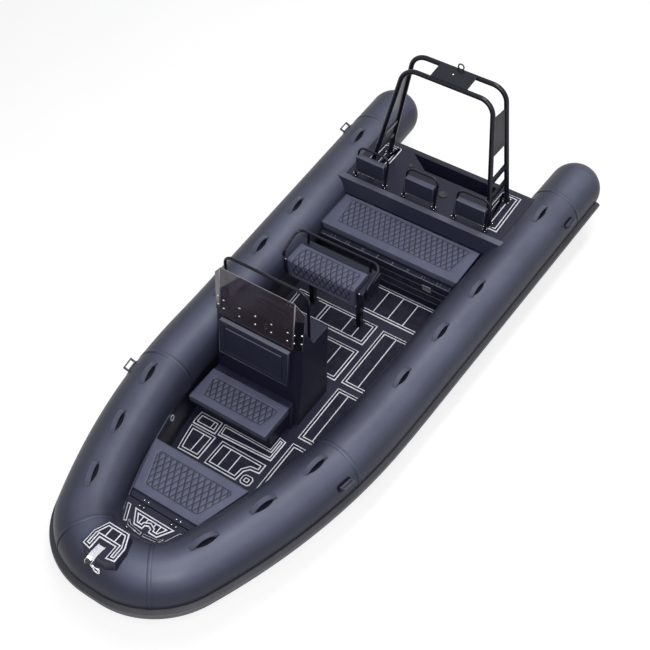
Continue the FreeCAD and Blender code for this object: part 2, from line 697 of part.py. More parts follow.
# ---- backrests on the aft deck -------------------------------------------------------------------------
hoop_x = -1768.0
hoop_half = 175.0
hoop_top_z = deck_z + 330
flange_radius = 34.0
hoops = []
pads = []
for y in (-625.0, -50.0, 530.0):
    hoop = bent_tube([(hoop_x, y - hoop_half, deck_z), (hoop_x - 60, y - hoop_half, hoop_top_z),
                      (hoop_x - 60, y + hoop_half, hoop_top_z), (hoop_x, y + hoop_half, deck_z)],
                     [70, 70], hoop_radius)
    feet = [Part.makeCylinder(flange_radius, 8, V(hoop_x, y + s * hoop_half, deck_z))
            for s in (-1, 1)]
    hoops.append(one_solid([hoop] + feet))
    pads.append(box(hoop_x - 40, hoop_x + 24, y - hoop_half + 11, y + hoop_half - 11,
                    deck_z + 70, deck_z + 262))
under_deck = box(-3000, 0, -2000, 2000, deck_z - 200, deck_z + fit)
save("backrest_hoops", Part.makeCompound([hoop.cut(under_deck) for hoop in hoops]))
pads = [pad.cut(hoops) for pad in pads]
save("backrest_pads", Part.makeCompound(pads))

# ---- arch -------------------------------------------------------------------------------------------------
# foot x, foot half breadth, top x, top half breadth, top height
arch_hoops = {
    "arch_front_hoop": (-1860, 700, -2100, 480, 1970),
    "arch_aft_hoop": (-2262, 690, -2318, 500, 1992),
}
arch_bend = 165.0
for name, (foot_x, foot_y, top_x, top_y, top_z) in arch_hoops.items():
    tube = bent_tube([(foot_x, -foot_y, deck_z), (top_x, -top_y, top_z), (top_x, top_y, top_z),
                      (foot_x, foot_y, deck_z)], [arch_bend, arch_bend], arch_radius)
    feet = [Part.makeCylinder(50, 10, V(foot_x, s * foot_y, deck_z)) for s in (-1, 1)]
    save(name, one_solid([tube] + feet).cut(under_deck))
    last_hoop = tube

plate_fore = V(-2100, 0, 1970)
plate_aft = V(-2318, 0, 1992)
plate_along = (plate_fore - plate_aft).normalize()
plate_up = V(-plate_along.z, 0, plate_along.x)
plate_length = (plate_fore - plate_aft).Length
plate_thickness = 4.0
plate_half = 200.0


def on_plate(along, up):
    point = plate_aft + plate_along * along + plate_up * (arch_radius + fit + up)
    return point.x, point.z


top_plate = side_profile([on_plate(0, 0), on_plate(plate_length, 0),
                          on_plate(plate_length, plate_thickness),
                          on_plate(0, plate_thickness)], -plate_half, plate_half)
save("arch_top_plate", top_plate)
eye_ring = 30.0
ring = Part.makeTorus(eye_ring, 7, plate_aft + V(0, 10, arch_radius + eye_ring), V(1, 0, 0))
save("arch_eye", ring.cut([last_hoop, top_plate]))

# Side plates and rungs between the legs.
def arch_point(hoop, z):
    """Centre of a port leg of the arch at height z."""
    foot_x, foot_y, top_x, top_y, top_z = arch_hoops[hoop]
    share = (z - deck_z) / (top_z - deck_z)
    return V(foot_x + (top_x - foot_x) * share, foot_y + (top_y - foot_y) * share, z)


def leg_web(z0, z1, thickness):
    """Plate between the port legs from z0 to z1, whose edges stop at the tubes."""
    corners = []
    for hoop, z in (("arch_front_hoop", z0), ("arch_front_hoop", z1),
                    ("arch_aft_hoop", z1), ("arch_aft_hoop", z0)):
        corners.append(arch_point(hoop, z))
    inset = arch_radius * 1.02 + fit
    corners[0].x -= inset
    corners[1].x -= inset
    corners[2].x += inset
    corners[3].x += inset
    lower = [c + V(0, -thickness / 2, 0) for c in corners]
    upper = [c + V(0, thickness / 2, 0) for c in corners]
    faces = [Part.makeRuledSurface(Part.makeLine(q[0], q[1]), Part.makeLine(q[3], q[2]))
             for q in (lower, upper)]
    for i in range(4):
        j = (i + 1) % 4
        faces.append(Part.makeRuledSurface(Part.makeLine(lower[i], lower[j]),
                                           Part.makeLine(upper[i], upper[j])))
    return outward(Part.Solid(Part.Shell(faces)))


save("arch_side_plates", both_sides(leg_web(1400, 1800, 5)))
save("arch_steps", both_sides(Part.makeCompound([leg_web(1120, 1165, 24), leg_web(940, 985, 24)])))

# ---- deck mats: sheets of closed-cell foam on the walking surfaces ---------------------------------
mat_thickness = 6.0
mat_margin = 60.0            # bare strip along the cockpit wall
mat_z = floor_z + fit
mat_field = plan_prism(inner + mat_margin, bench_front_x, bow_locker_x, mat_z,
                       mat_z + mat_thickness)
seat_side = seat_port_y - seat_wall
seat_fore = seat_front_x - seat_toe
mat_outlines = [
    # ahead of the seat, either side of the centre gap
    [(1368, -700), (1366, -312), (1646, -306), (1655, -700)],
    [(1366, -240), (1366, 250), (1476, 250), (1487, 156), (1534, 118), (1648, 108), (1648, -240)],
    [(1540, 160), (1562, 138), (1623, 138), (1645, 160), (1645, 226), (1623, 248), (1562, 248),
     (1540, 226)],
    [(seat_fore + 14, -600), (seat_fore + 10, -357), (1347, -340), (1351, -600)],
    [(seat_fore + 10, -334), (1338, -320), (1309, 257), (1062, 257), (1048, seat_side + 12),
     (seat_fore + 10, seat_side + 12)],
    # along the walkway to port
    [(1033, 313), (1640, 313), (1640, 900), (1033, 900)],
    [(279, 314), (961, 314), (961, 900), (279, 900)],
    [(-558, 298), (209, 298), (209, 900), (-558, 900)],
    # at the helm, under its seat and ahead of the bench
    [(-205, -900), (225, -900), (225, 238), (-205, 238)],
    [(-577, -900), (-287, -900), (-287, 225), (-577, 225)],
    [(-1062, -900), (-675, -900), (-675, 900), (-1062, 900)],
]
post_feet = [box(post_x - foot_size / 2 - 4, post_x + foot_size / 2 + 4, y - foot_size / 2 - 4,
                 y + foot_size / 2 + 4, floor_z, floor_z + 50)
             for y in (console_y - post_off, console_y + post_off)]
mats = [plan_profile(outline, mat_z, mat_z + mat_thickness).common(mat_field).cut(post_feet)
        for outline in mat_outlines]

side_mat = [(-1808, 600), (-1808, 817), (-2362, 806), (-2362, 606), (-2341, 594), (-2136, 590)]
arch_feet = [Part.makeCylinder(54, 60, V(x, y, deck_z))
             for x, y, _, _, _ in arch_hoops.values()]
port_mat = plan_profile(side_mat, deck_z + fit, deck_z + fit + mat_thickness).cut(arch_feet)
mats += [port_mat, mirrored(port_mat)]
bench_mat_half = bench_half - 25
mats.append(box(bench_fore_x + 8, bench_nose_x - 6, -bench_mat_half, bench_mat_half,
                bench_top_z + fit, bench_top_z + fit + 5))

# On the bow deck: a middle mat with a notch, a strip along each tube and a chevron ahead.
bow_mat = [(2557, 205), (2690, 120), (2690, 30), (2656, 27), (2644, 0), (2656, -27),
           (2690, -30), (2690, -120), (2557, -205)]
bow_strip = [(2551, 290), (2551, 256), (2697, 186), (2706, 214)]
bow_chevron = [(2742, 12), (2716, 12), (2700, 140), (2668, 172), (2676, 182), (2722, 156)]
for outline in (bow_mat, bow_strip, bow_chevron):
    mat = hugging(plan_profile(outline, bow_deck_z + fit, bow_deck_z + fit + mat_thickness))
    mats.append(mat)
    if outline is not bow_mat:
        mats.append(mirrored(mat))
pad_inset = 0.96
pad_x = nose_x + 10
step_mat = [(pad_x + (x - pad_x) * pad_inset, y * pad_inset) for x, y in step_plan]
step_mat_notch = box(nose_x + 15, nose_x + 200, -76, 76, step_top, step_top + 20)
mats.append(plan_profile(step_mat, step_top + fit, step_top + fit + 5).cut(step_mat_notch))
save("deck_mats", Part.makeCompound(mats))

# ---- handles on the tubes -------------------------------------------------------------------------
handle_length = 270.0
handle_rise = 62.0
handle_strap = 14.0
handle_width = 46.0
handle_foot = 36.0
handle_seats = (-2228.0, -1004.0, -356.0, 290.0, 1524.0, 2088.0, 2627.0)


def grab_handle(x):
    """Crescent of moulded rubber that stands on top of the tube."""
    point, along, out, up = tube_frame(x)
    base = point + up * (tube_radius + glue_gap) - out * (handle_width / 2)
    half = handle_length / 2
    foot_in = half - handle_foot
    a, b = base - along * half, base + along * half
    c, d = base + along * foot_in, base - along * foot_in
    outer = Part.Arc(a, base + up * handle_rise, b).toShape()
    gap = Part.Arc(c, base + up * (handle_rise - handle_strap), d).toShape()
    wire = Part.Wire([outer, Part.makeLine(b, c), gap, Part.makeLine(d, a)])
    return Part.Face(wire).extrude(out * handle_width)


port_handles = [hugging(grab_handle(x)) for x in handle_seats]
save("grab_handles", both_sides(Part.makeCompound(port_handles)))

loop_length = 130.0
loop_reach = 62.0
loop_bar = 14.0
loop_depth = 22.0
loop_angle = 28.0            # degrees up from the side of the tube
loop_seats = (-2420.0, 1420.0)


def side_loop(x):
    """Rectangular lifting loop on the outside of the tube."""
    point, along, out, up = tube_frame(x)
    lean = math.radians(loop_angle)
    radial = out * math.cos(lean) + up * math.sin(lean)
    across = up * math.cos(lean) - out * math.sin(lean)
    base = point + radial * (tube_radius + glue_gap) - across * (loop_depth / 2)

    def rectangle(half, low, high):
        corners = [base - along * half + radial * low, base + along * half + radial * low,
                   base + along * half + radial * high, base - along * half + radial * high]
        return Part.Face(Part.makePolygon(corners + corners[:1])).extrude(across * loop_depth)

    frame = rectangle(loop_length / 2, 0, loop_reach)
    return frame.cut(rectangle(loop_length / 2 - loop_bar, loop_bar, loop_reach - loop_bar))


save("side_loops", both_sides(Part.makeCompound([side_loop(x) for x in loop_seats])))

# ---- bow eye: stainless U bolt low on the stem --------------------------------------------------------
eye_z = 60.0
eye_gap = 26.0
eye_bar = 6.0
eye_x = 2960.0
eye_leg = 160.0
eye = bent_tube([(eye_x - eye_leg, 0, eye_z - eye_gap), (eye_x, 0, eye_z - eye_gap),
                 (eye_x, 0, eye_z + eye_gap), (eye_x - eye_leg, 0, eye_z + eye_gap)],
                [20, 20], eye_bar)
stem = [(x, keel) for x, keel, _, _, _ in hull_stations[-3:]]
stem_block = side_profile(stem + [(2400, 400)], -50, 50)
save("bow_eye", eye.cut(stem_block))
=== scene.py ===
import math

import bmesh
import bpy
from mathutils import Matrix, Vector


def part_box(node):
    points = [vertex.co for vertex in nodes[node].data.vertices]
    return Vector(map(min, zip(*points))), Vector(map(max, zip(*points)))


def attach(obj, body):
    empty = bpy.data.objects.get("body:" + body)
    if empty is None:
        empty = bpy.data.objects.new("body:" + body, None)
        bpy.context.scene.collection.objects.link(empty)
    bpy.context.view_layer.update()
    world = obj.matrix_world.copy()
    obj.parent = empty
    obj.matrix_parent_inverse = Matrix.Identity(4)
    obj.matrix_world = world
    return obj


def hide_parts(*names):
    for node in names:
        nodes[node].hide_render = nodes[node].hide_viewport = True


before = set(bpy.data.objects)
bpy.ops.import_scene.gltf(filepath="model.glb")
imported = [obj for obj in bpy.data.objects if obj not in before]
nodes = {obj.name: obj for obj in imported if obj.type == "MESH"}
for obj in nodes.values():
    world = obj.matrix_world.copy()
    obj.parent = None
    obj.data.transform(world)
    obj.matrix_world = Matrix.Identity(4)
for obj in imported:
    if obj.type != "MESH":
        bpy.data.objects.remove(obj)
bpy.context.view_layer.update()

# ---- air tubes ------------------------------------------------------------------------------
# Chambers of coated polyester fabric, cut as gores and glued at lapped seams. A tape covers the
# joint between two chambers. The cloth is matt, slate blue over black, with a fine grain.
tube_radius = 0.27
tube_colour = (0.020, 0.022, 0.039)
# painted light: the cloth's colour where it turns away from the light, painted darker, and as it
# turns towards it, painted paler as a highlight
tube_painted_light = [(0.35, tube_colour), (0.76, (0.028, 0.031, 0.054)), (0.93, (0.080, 0.086, 0.132)),
               (1.0, (0.118, 0.126, 0.180))]
highlight_way = (0.14, 0.36, 0.922)


def shader(mat):
    return mat.node_tree.nodes["Principled BSDF"]


def finish(name, colour, roughness, metallic=0.0):
    """Plain material, before its texture is wired in."""
    mat = bpy.data.materials.new(name)
    mat.use_nodes = True
    inputs = shader(mat).inputs
    inputs["Base Color"].default_value = (*colour, 1.0)
    inputs["Roughness"].default_value = roughness
    inputs["Metallic"].default_value = metallic
    return mat


def part(mat, kind, **values):
    """Shader node of that kind, with its inputs set."""
    node = mat.node_tree.nodes.new("ShaderNode" + kind)
    for socket, value in values.items():
        node.inputs[socket.replace("_", " ")].default_value = value
    return node


def wire(mat, a, out, b, into):
    mat.node_tree.links.new(a.outputs[out], b.inputs[into])


def texture(mat, kind, **values):
    """Texture node laid out in the object's own coordinates, in metres."""
    node = part(mat, "Tex" + kind, **values)
    wire(mat, part(mat, "TexCoord"), "Object", node, "Vector")
    return node


def mottle(mat, colour, other, scale, low=0.35, high=0.65):
    """Colour that drifts between two shades over the surface."""
    noise = texture(mat, "Noise", Scale=scale, Detail=4.0, Roughness=0.6)
    ramp = part(mat, "ValToRGB")
    ramp.color_ramp.elements[0].position = low
    ramp.color_ramp.elements[1].position = high
    ramp.color_ramp.elements[0].color = (*colour, 1.0)
    ramp.color_ramp.elements[1].color = (*other, 1.0)
    wire(mat, noise, "Fac", ramp, "Fac")
    wire(mat, ramp, "Color", shader(mat), "Base Color")
    return ramp


def scuff(mat, low, high, scale):
    """Roughness that wanders between two values, as on a surface that hands have rubbed."""
    noise = texture(mat, "Noise", Scale=scale, Detail=5.0, Roughness=0.65)
    span = part(mat, "MapRange", To_Min=low, To_Max=high)
    wire(mat, noise, "Fac", span, "Value")
    wire(mat, span, "Result", shader(mat), "Roughness")


def grain(mat, texture, out, strength, distance, under=None):
    """Bump from a texture's output, over another bump where there is one."""
    bump = part(mat, "Bump", Strength=strength, Distance=distance)
    wire(mat, texture, out, bump, "Height")
    if under:
        wire(mat, under, "Normal", bump, "Normal")
    wire(mat, bump, "Normal", shader(mat), "Normal")
    return bump


def multiply(mat, a, b, out_b="Color"):
    """Base colour from two nodes multiplied together."""
    both = part(mat, "Mix")
    both.data_type = "RGBA"
    both.blend_type = "MULTIPLY"
    both.inputs["Factor"].default_value = 1.0
    wire(mat, a, "Color", both, 6)
    wire(mat, b, out_b, both, 7)
    wire(mat, both, 2, shader(mat), "Base Color")


def dull(mat, level):
    """Weaker mirror reflection, as from a dry or powdery skin."""
    shader(mat).inputs["Specular IOR Level"].default_value = level


fabric = finish("tube_fabric", tube_colour, 0.42)
dull(fabric, 0.24)
drift = mottle(fabric, (0.88, 0.88, 0.88), (1.12, 1.12, 1.12), 1.6)
scuff(fabric, 0.38, 0.47, 3.0)
# Painted highlight: the cloth is painted paler on the side of each tube that faces the light, and
# darker on the side turned from it.
lie = part(fabric, "NewGeometry")
turned_to = part(fabric, "VectorMath")
turned_to.operation = "DOT_PRODUCT"
turned_to.inputs[1].default_value = highlight_way
wire(fabric, lie, "True Normal", turned_to, 0)
painted_highlight = part(fabric, "ValToRGB")
painted_highlight.color_ramp.interpolation = "B_SPLINE"
for position, painted_lightness in tube_painted_light[1:-1]:
    painted_highlight.color_ramp.elements.new(position)
for stop, (position, painted_lightness) in zip(painted_highlight.color_ramp.elements, tube_painted_light):
    stop.position = position
    stop.color = (*painted_lightness, 1.0)
wire(fabric, turned_to, "Value", painted_highlight, "Fac")
multiply(fabric, painted_highlight, drift)
cloth_grain = texture(fabric, "Noise", Scale=420.0, Detail=3.0)
soft_waves = texture(fabric, "Noise", Scale=2.2, Detail=2.0)
waves = grain(fabric, soft_waves, "Fac", 0.35, 0.012)
grain(fabric, cloth_grain, "Fac", 0.25, 0.0006, waves)

tubes = ["port_side_tube", "starboard_side_tube", "port_bow_tube", "starboard_bow_tube",
         "nose_tube"]


def paint(name, mat):
    """Give a CAD node that keeps its shape its finish."""
    nodes[name].data.materials.clear()
    nodes[name].data.materials.append(mat)


for name in tubes:
    paint(name, fabric)


def picked(geom, kind):
    """The verts or faces among a bmesh operator's results."""
    return [g for g in geom if isinstance(g, kind)]


def placed(name, data):
    """New object in the scene."""
    thing = bpy.data.objects.new(name, data)
    bpy.context.scene.collection.objects.link(thing)
    return thing


def outward(bm):
    """Turn every face outwards."""
    bmesh.ops.recalc_face_normals(bm, faces=bm.faces)


def show(name, bm, mats, body, smooth=True):
    """Object from a finished bmesh, riding on a body, with its materials."""
    mesh = bpy.data.meshes.new(name)
    bm.to_mesh(mesh)
    bm.free()
    for mat in mats:
        mesh.materials.append(mat)
    for face in mesh.polygons:
        face.use_smooth = smooth
    piece = placed(name, mesh)
    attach(piece, body)
    return piece


# The line of the port tube: a straight side that yaws inwards, then an arc to the bow.
side_yaw = math.radians(2.0)
bend_at = Vector((0.69955, 0.97202, 0.49116))
bend_along = Vector((0.99783, -0.03485, 0.05579))
bend_out = Vector((0.03479, 0.99939, 0.00195))
side_arc = 5.9               # radius of that arc
arc_foreshorten = 1.02       # length along the arc for each metre of x
rise_at = 0.3
rise_rate = 0.0697           # height gained for each square metre of run past rise_at
half_beam = 0.972            # at bend_x
bend_x = 0.7
axis_z = 0.48


def tube_frame(x):
    """Middle of the port tube at x, as a matrix: outboard, up and forward are its axes."""
    if x < bend_at.x:
        run = max(0.0, x - rise_at)
        middle = Vector((x, half_beam + (bend_x - x) * math.tan(side_yaw),
                         axis_z + run ** 2 * rise_rate))
        along = Vector((math.cos(side_yaw), -math.sin(side_yaw), 2 * run * rise_rate))
        along.normalize()
        out = Vector((math.sin(side_yaw), math.cos(side_yaw), 0))
    else:
        turn = Matrix.Rotation(-(x - bend_at.x) / side_arc * arc_foreshorten, 3,
                               bend_along.cross(bend_out))
        centre = bend_at - bend_out * side_arc
        middle = centre + turn @ (bend_at - centre)
        along = turn @ bend_along
        out = turn @ bend_out
    up = along.cross(out)
    return Matrix.Translation(middle) @ Matrix((out, up, along)).transposed().to_4x4()


# The tight corner arcs beside the nose, and the headings of the seams that cross them.
corner_middle = Vector((2.56164, 0.06285, 0.59527))
corner_forward = Vector((0.99844, 0, 0.05582))
corner_arc = 0.5


def corner_frame(heading):
    """Middle of the tube on the port corner arc, where it heads that many degrees inwards."""
    turn = math.radians(heading)
    out = corner_forward * math.sin(turn) + Vector((0, math.cos(turn), 0))
    along = corner_forward * math.cos(turn) - Vector((0, math.sin(turn), 0))
    middle = corner_middle + out * corner_arc
    return (Matrix.Translation(middle)
            @ Matrix((out, along.cross(out), along)).transposed().to_4x4())


tape_width = 0.040
tape_rise = 0.0018
taped = {"aft": tube_frame(-2.62), "side": tube_frame(1.24), "corner": corner_frame(56)}
for name, where in taped.items():
    bm = bmesh.new()
    bmesh.ops.create_circle(bm, segments=128, radius=tube_radius + 0.0004, matrix=where)
    wall = bmesh.ops.extrude_edge_only(bm, edges=bm.edges[:])
    bmesh.ops.translate(bm, verts=picked(wall["geom"], bmesh.types.BMVert),
                        vec=where.col[2].to_3d() * tape_width)
    outward(bm)
    bmesh.ops.solidify(bm, geom=bm.faces[:], thickness=-tape_rise)
    bmesh.ops.mirror(bm, geom=bm.faces[:] + bm.edges[:] + bm.verts[:], axis="Y",
                     merge_dist=0.0)
    outward(bm)
    show("tube_tape_" + name, bm, [fabric], "boat")

# ---- rub strake -----------------------------------------------------------------------------
# Extruded black rubber section, glued round the outside of the tubes to take knocks.
strake = finish("strake_rubber", (0.018, 0.018, 0.024), 0.6)
scuff(strake, 0.45, 0.7, 6.0)
strake_grain = texture(strake, "Noise", Scale=160.0, Detail=4.0)
grain(strake, strake_grain, "Fac", 0.3, 0.0012)
# The narrow slope along its top edge is painted a paler grey, a painted highlight where it faces
# up.
facing = part(strake, "NewGeometry")
slope = part(strake, "SeparateXYZ")
wire(strake, facing, "True Normal", slope, "Vector")
strake_painted_highlight = part(strake, "ValToRGB")
for position, painted_lightness in ((0.18, 0.0), (0.22, 1.0), (0.52, 1.0), (0.56, 0.0)):
    stop = strake_painted_highlight.color_ramp.elements.new(position)
    stop.color = (0.018 + 0.09 * painted_lightness, 0.018 + 0.09 * painted_lightness, 0.024 + 0.10 * painted_lightness, 1.0)
strake_painted_highlight.color_ramp.elements.remove(strake_painted_highlight.color_ramp.elements[0])
strake_painted_highlight.color_ramp.elements.remove(strake_painted_highlight.color_ramp.elements[-1])
wire(strake, slope, "Z", strake_painted_highlight, "Fac")
wire(strake, strake_painted_highlight, "Color", shader(strake), "Base Color")
paint("rub_strake", strake)

# ---- hull, transom and cockpit floor --------------------------------------------------------
# Hand-laid glass fibre in black gelcoat: polished outside, flatter inside the cockpit.
gelcoat_colour = (0.010, 0.010, 0.020)


def gelcoat(name, colour, low, high, coat):
    mat = finish(name, colour, low)
    scuff(mat, low, high, 4.0)
    dust = texture(mat, "Noise", Scale=90.0, Detail=6.0)
    grain(mat, dust, "Fac", 0.08, 0.0005)
    shader(mat).inputs["Coat Weight"].default_value = coat
    shader(mat).inputs["Coat Roughness"].default_value = 0.15
    return mat


hull_gloss = gelcoat("hull_gelcoat", gelcoat_colour, 0.26, 0.36, 0.10)
dull(hull_gloss, 0.3)
deck_satin = gelcoat("deck_gelcoat", (0.012, 0.013, 0.030), 0.34, 0.5, 0.06)
dull(deck_satin, 0.22)
paint("hull", hull_gloss)
paint("transom", hull_gloss)
paint("cockpit_floor", deck_satin)

# ---- deck mouldings -------------------------------------------------------------------------
# Glass-fibre mouldings bonded into the hull, with the rounded edges that a mould needs.
crease = math.radians(28)


def merged_copy(name):
    """bmesh of a CAD node with its triangles joined into flat faces."""
    bm = bmesh.new()
    bm.from_mesh(nodes[name].data)
    bmesh.ops.remove_doubles(bm, verts=bm.verts, dist=2e-5)
    bmesh.ops.dissolve_limit(bm, angle_limit=math.radians(0.5), verts=bm.verts, edges=bm.edges)
    return bm


def round_off(bm, angle, radius, segments=2, clamp=False):
    """Round the edges whose faces turn by more than the angle."""
    sharp = [e for e in bm.edges if e.is_manifold and e.calc_face_angle() > angle]
    bmesh.ops.bevel(bm, geom=sharp, offset=radius, offset_type="OFFSET", segments=segments,
                    profile=0.5, affect="EDGES", material=-1, clamp_overlap=clamp)


def moulded(name, radius, mat, body="boat", segments=3):
    """The CAD node's shape with its sharp edges rounded, in its place."""
    bm = merged_copy(name)
    round_off(bm, crease, radius, segments, True)
    piece = show(name + "_moulding", bm, [mat], body)
    firm = piece.modifiers.new("flat faces stay flat", "WEIGHTED_NORMAL")
    firm.weight = 100
    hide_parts(name)
    return piece


for name, radius in [("aft_deck", 0.012), ("aft_coaming", 0.012), ("bench_base", 0.012),
                     ("bow_locker", 0.008), ("bow_deck", 0.010), ("front_seat_base", 0.010),
                     ("helm_seat_base", 0.014), ("console", 0.018)]:
    moulded(name, radius, deck_satin)
for name, body in [("bench_lid", "bench_lid_body"), ("bow_locker_lid", "bow_lid"),
                   ("front_seat_lid", "front_seat_lid_body")]:
    moulded(name, 0.004, deck_satin, body)
moulded("bow_step", 0.008, deck_satin)

# The coaming's flat ledge is finished in a paler grey.
ledge_grey = gelcoat("ledge_gelcoat", (0.075, 0.080, 0.115), 0.35, 0.5, 0.06)
coaming = bpy.data.objects["aft_coaming_moulding"]
coaming.data.materials.append(ledge_grey)
for face in coaming.data.polygons:
    if face.normal.z > 0.6 and face.center.z > 0.70:
        face.material_index = 1

# ---- deck mats ------------------------------------------------------------------------------
# Closed-cell foam sheet, black over white: routed grooves and cut edges show the white core.
foam_black = finish("mat_black", (0.014, 0.014, 0.026), 0.8)
dull(foam_black, 0.16)
mottle(foam_black, (0.012, 0.012, 0.025), (0.024, 0.024, 0.042), 14.0)
brushed = texture(foam_black, "Noise", Scale=380.0, Detail=2.0)
grain(foam_black, brushed, "Fac", 0.5, 0.0012)
foam_white = finish("mat_core", (0.72, 0.73, 0.80), 0.7)
mottle(foam_white, (0.64, 0.65, 0.72), (0.76, 0.77, 0.83), 20.0)
# On the bench strip, under the cushion's overhang, the white core is painted grey as painted shade.
foam_painted_shade = finish("mat_core_painted_shade", (0.16, 0.16, 0.20), 0.7)
mottle(foam_painted_shade, (0.11, 0.11, 0.14), (0.20, 0.20, 0.25), 26.0)

cut_edge = 0.010             # sloping cut round each mat
band = 0.020                 # black band inside it
groove = 0.010
groove_depth = 0.002
step_mat_z = 0.9             # only the mat on the bow step is above this
step_arm_x = 3.196
# dividing grooves: the x range of the mats that they cross, and the y of each
single = [(1.36, 1.66, (-0.420, -0.114, 0.0)), (1.36, 1.50, (0.118,)), (1.19, 1.36, (-0.420,)),
          (1.19, 1.35, (-0.250, -0.120)), (1.19, 1.33, (0.0,)), (1.03, 1.64, (0.455,)),
          (0.27, 0.97, (0.450,)), (-0.56, 0.21, (0.467,)),
          (-0.21, 0.23, (0.058, -0.117, -0.292, -0.467)),
          (-0.58, -0.28, (-0.345, -0.310, -0.045, 0.075))]
paired = [(-1.07, -0.67, (0.0845, 0.2535, 0.4225, 0.5915)), (-2.37, -1.80, (0.705,)),
          (-1.08, -1.02, (0.09, 0.27, 0.45, 0.63)), (2.55, 2.70, (0.04, 0.09)),
          (2.90, 3.24, (0.046,))]
dividers = [(y, x0, x1) for x0, x1, across in single for y in across]
dividers += [(y * side, x0, x1) for x0, x1, across in paired for side in (1, -1) for y in across]


def islands(bm):
    """The separate sheets of faces in a bmesh, in the mesh's own order."""
    bm.faces.index_update()
    bm.edges.index_update()
    left = set(bm.faces)
    while left:
        newest = {min(left, key=lambda face: face.index)}
        sheet = set()
        while newest:
            sheet |= newest
            left -= newest
            newest = {n for f in newest for e in f.edges for n in e.link_faces} & left
        yield sorted(sheet, key=lambda face: face.index)


def outline(sheet):
    """Points round the outside of a sheet of faces, without its holes."""
    edges = {e for f in sheet for e in f.edges if e.is_boundary}
    rings = []
    while edges:
        first = min(edges, key=lambda edge: edge.index)
        edges.discard(first)
        start, at = first.verts
        ring = [start.co.copy()]
        while at != start:
            ring.append(at.co.copy())
            edge = next(e for e in at.link_edges if e in edges)
            edges.discard(edge)
            at = edge.other_vert(at)
        rings.append(ring)
    return max(rings, key=lambda ring: max((a - b).length for a in ring for b in ring))


def least_breadth(sheet):
    """The shortest way across a flat face from the middle of any of its longer edges."""
    corners = [v.co.xy for v in sheet.verts]
    edges = list(zip(corners, corners[1:] + corners[:1]))
    least = 1e9
    for a, b in edges:
        if (b - a).length < 0.03:
            continue
        middle = (a + b) / 2
        way = Vector((a.y - b.y, b.x - a.x)).normalized()
        for c, d in edges:
            side = d - c
            turn = way.cross(side)
            if abs(turn) < 1e-6:
                continue
            far = (c - middle).cross(side) / turn
            share = (c - middle).cross(way) / turn
            if far > 0.002 and -0.001 < share < 1.001:
                least = min(least, far)
    return least


def sunk(bm, faces, width, depth, material=0):
    """Inset faces, let the inside down and give the ring round it a material."""
    ring = bmesh.ops.inset_region(bm, faces=faces, thickness=width, depth=-depth,
                                  use_even_offset=True, use_boundary=True)["faces"]
    for f in ring:
        f.material_index = material


blank = merged_copy("deck_mats")
bmesh.ops.delete(blank, geom=[f for f in blank.faces if f.normal.z < 0.9], context="FACES")
bm = bmesh.new()
arch_feet = [Vector((x, y * side)) for x, y in ((-1.860, 0.700), (-2.262, 0.690))
             for side in (-1, 1)]
for sheet in islands(blank):
    # the arch's flanges cover the holes for its feet
    around = [co for co in outline(sheet)
              if co.z < 0.69 or min((co.xy - foot).length for foot in arch_feet) > 0.056]
    if around[0].z > step_mat_z:
        # its two arms end square beside the anchor channel
        around = [Vector((min(co.x, step_arm_x), co.y, co.z)) for co in around]
        around = [co for co, after in zip(around, around[1:] + around[:1])
                  if (co - after).length > 0.002]
    bm.faces.new([bm.verts.new(co) for co in around])
blank.free()
outward(bm)
for face in bm.faces:
    if face.normal.z < 0:
        face.normal_flip()

mat_thickness = 0.006
for sheet in bm.faces[:]:
    xs = [v.co.x for v in sheet.verts]
    ys = [v.co.y for v in sheet.verts]
    room = least_breadth(sheet)
    on_bench = room < 0.10 and max(ys) - min(ys) > 1.0
    # the bench strip's grooves take the grey of painted shade
    core = 2 if on_bench else 1
    black = min(band, 0.42 * room - cut_edge - groove)
    inner = [sheet]
    if on_bench or black < 0.004:
        sunk(bm, inner, cut_edge * 0.3 if on_bench else min(cut_edge, room * 0.2), 0.0, core)
    else:
        sunk(bm, inner, cut_edge, 0.0, core)
        sunk(bm, inner, black, 0.0)
        sunk(bm, inner, groove / 2, groove_depth, 1)
        sunk(bm, inner, groove / 2, -groove_depth, 1)
    for y, x0, x1 in dividers:
        if not (min(ys) < y < max(ys) and x0 - 0.02 < min(xs) and max(xs) < x1 + 0.02):
            continue
        slot = groove * (0.5 if on_bench else 1.0)
        for side in (-1, 1):
            geom = set(inner) | {e for f in inner for e in f.edges}
            geom |= {v for f in inner for v in f.verts}
            done = bmesh.ops.bisect_plane(bm, geom=list(geom), dist=1e-6,
                                          plane_co=(0, y + side * slot / 2, 0),
                                          plane_no=(0, 1, 0))
            inner = picked(done["geom"], bmesh.types.BMFace)
        slit = [f for f in inner if abs(f.calc_center_bounds().y - y) < slot * 0.3]
        if slit:
            sunk(bm, slit, slot * 0.35, groove_depth, core)
        for f in slit:
            f.material_index = core
        inner = [f for f in inner if f not in slit]
rims = [e for e in bm.edges if e.is_boundary]
bmesh.ops.translate(bm, verts=list({v for e in rims for v in e.verts}),
                    vec=(0, 0, -mat_thickness * 0.5))
skirt = bmesh.ops.extrude_edge_only(bm, edges=rims)["geom"]
bmesh.ops.translate(bm, verts=picked(skirt, bmesh.types.BMVert),
                    vec=(0, 0, -mat_thickness * 0.45))
mats = show("deck_mats_routed", bm, [foam_black, foam_white, foam_painted_shade], "boat",
            smooth=False)
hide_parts("deck_mats")

# ---- cushions -------------------------------------------------------------------------------
# Foam in sewn covers of grained vinyl. A border seam runs round a field of quilted diamonds,
# and piping closes the edges. The covers are blown up as cloth between their seams.
vinyl_colour = (0.082, 0.087, 0.137)
quilt_pitch = 0.060          # breadth of a diamond, across the boat
quilt_length = 0.120
quilt_depth = 0.0065
piping_radius = 0.0035


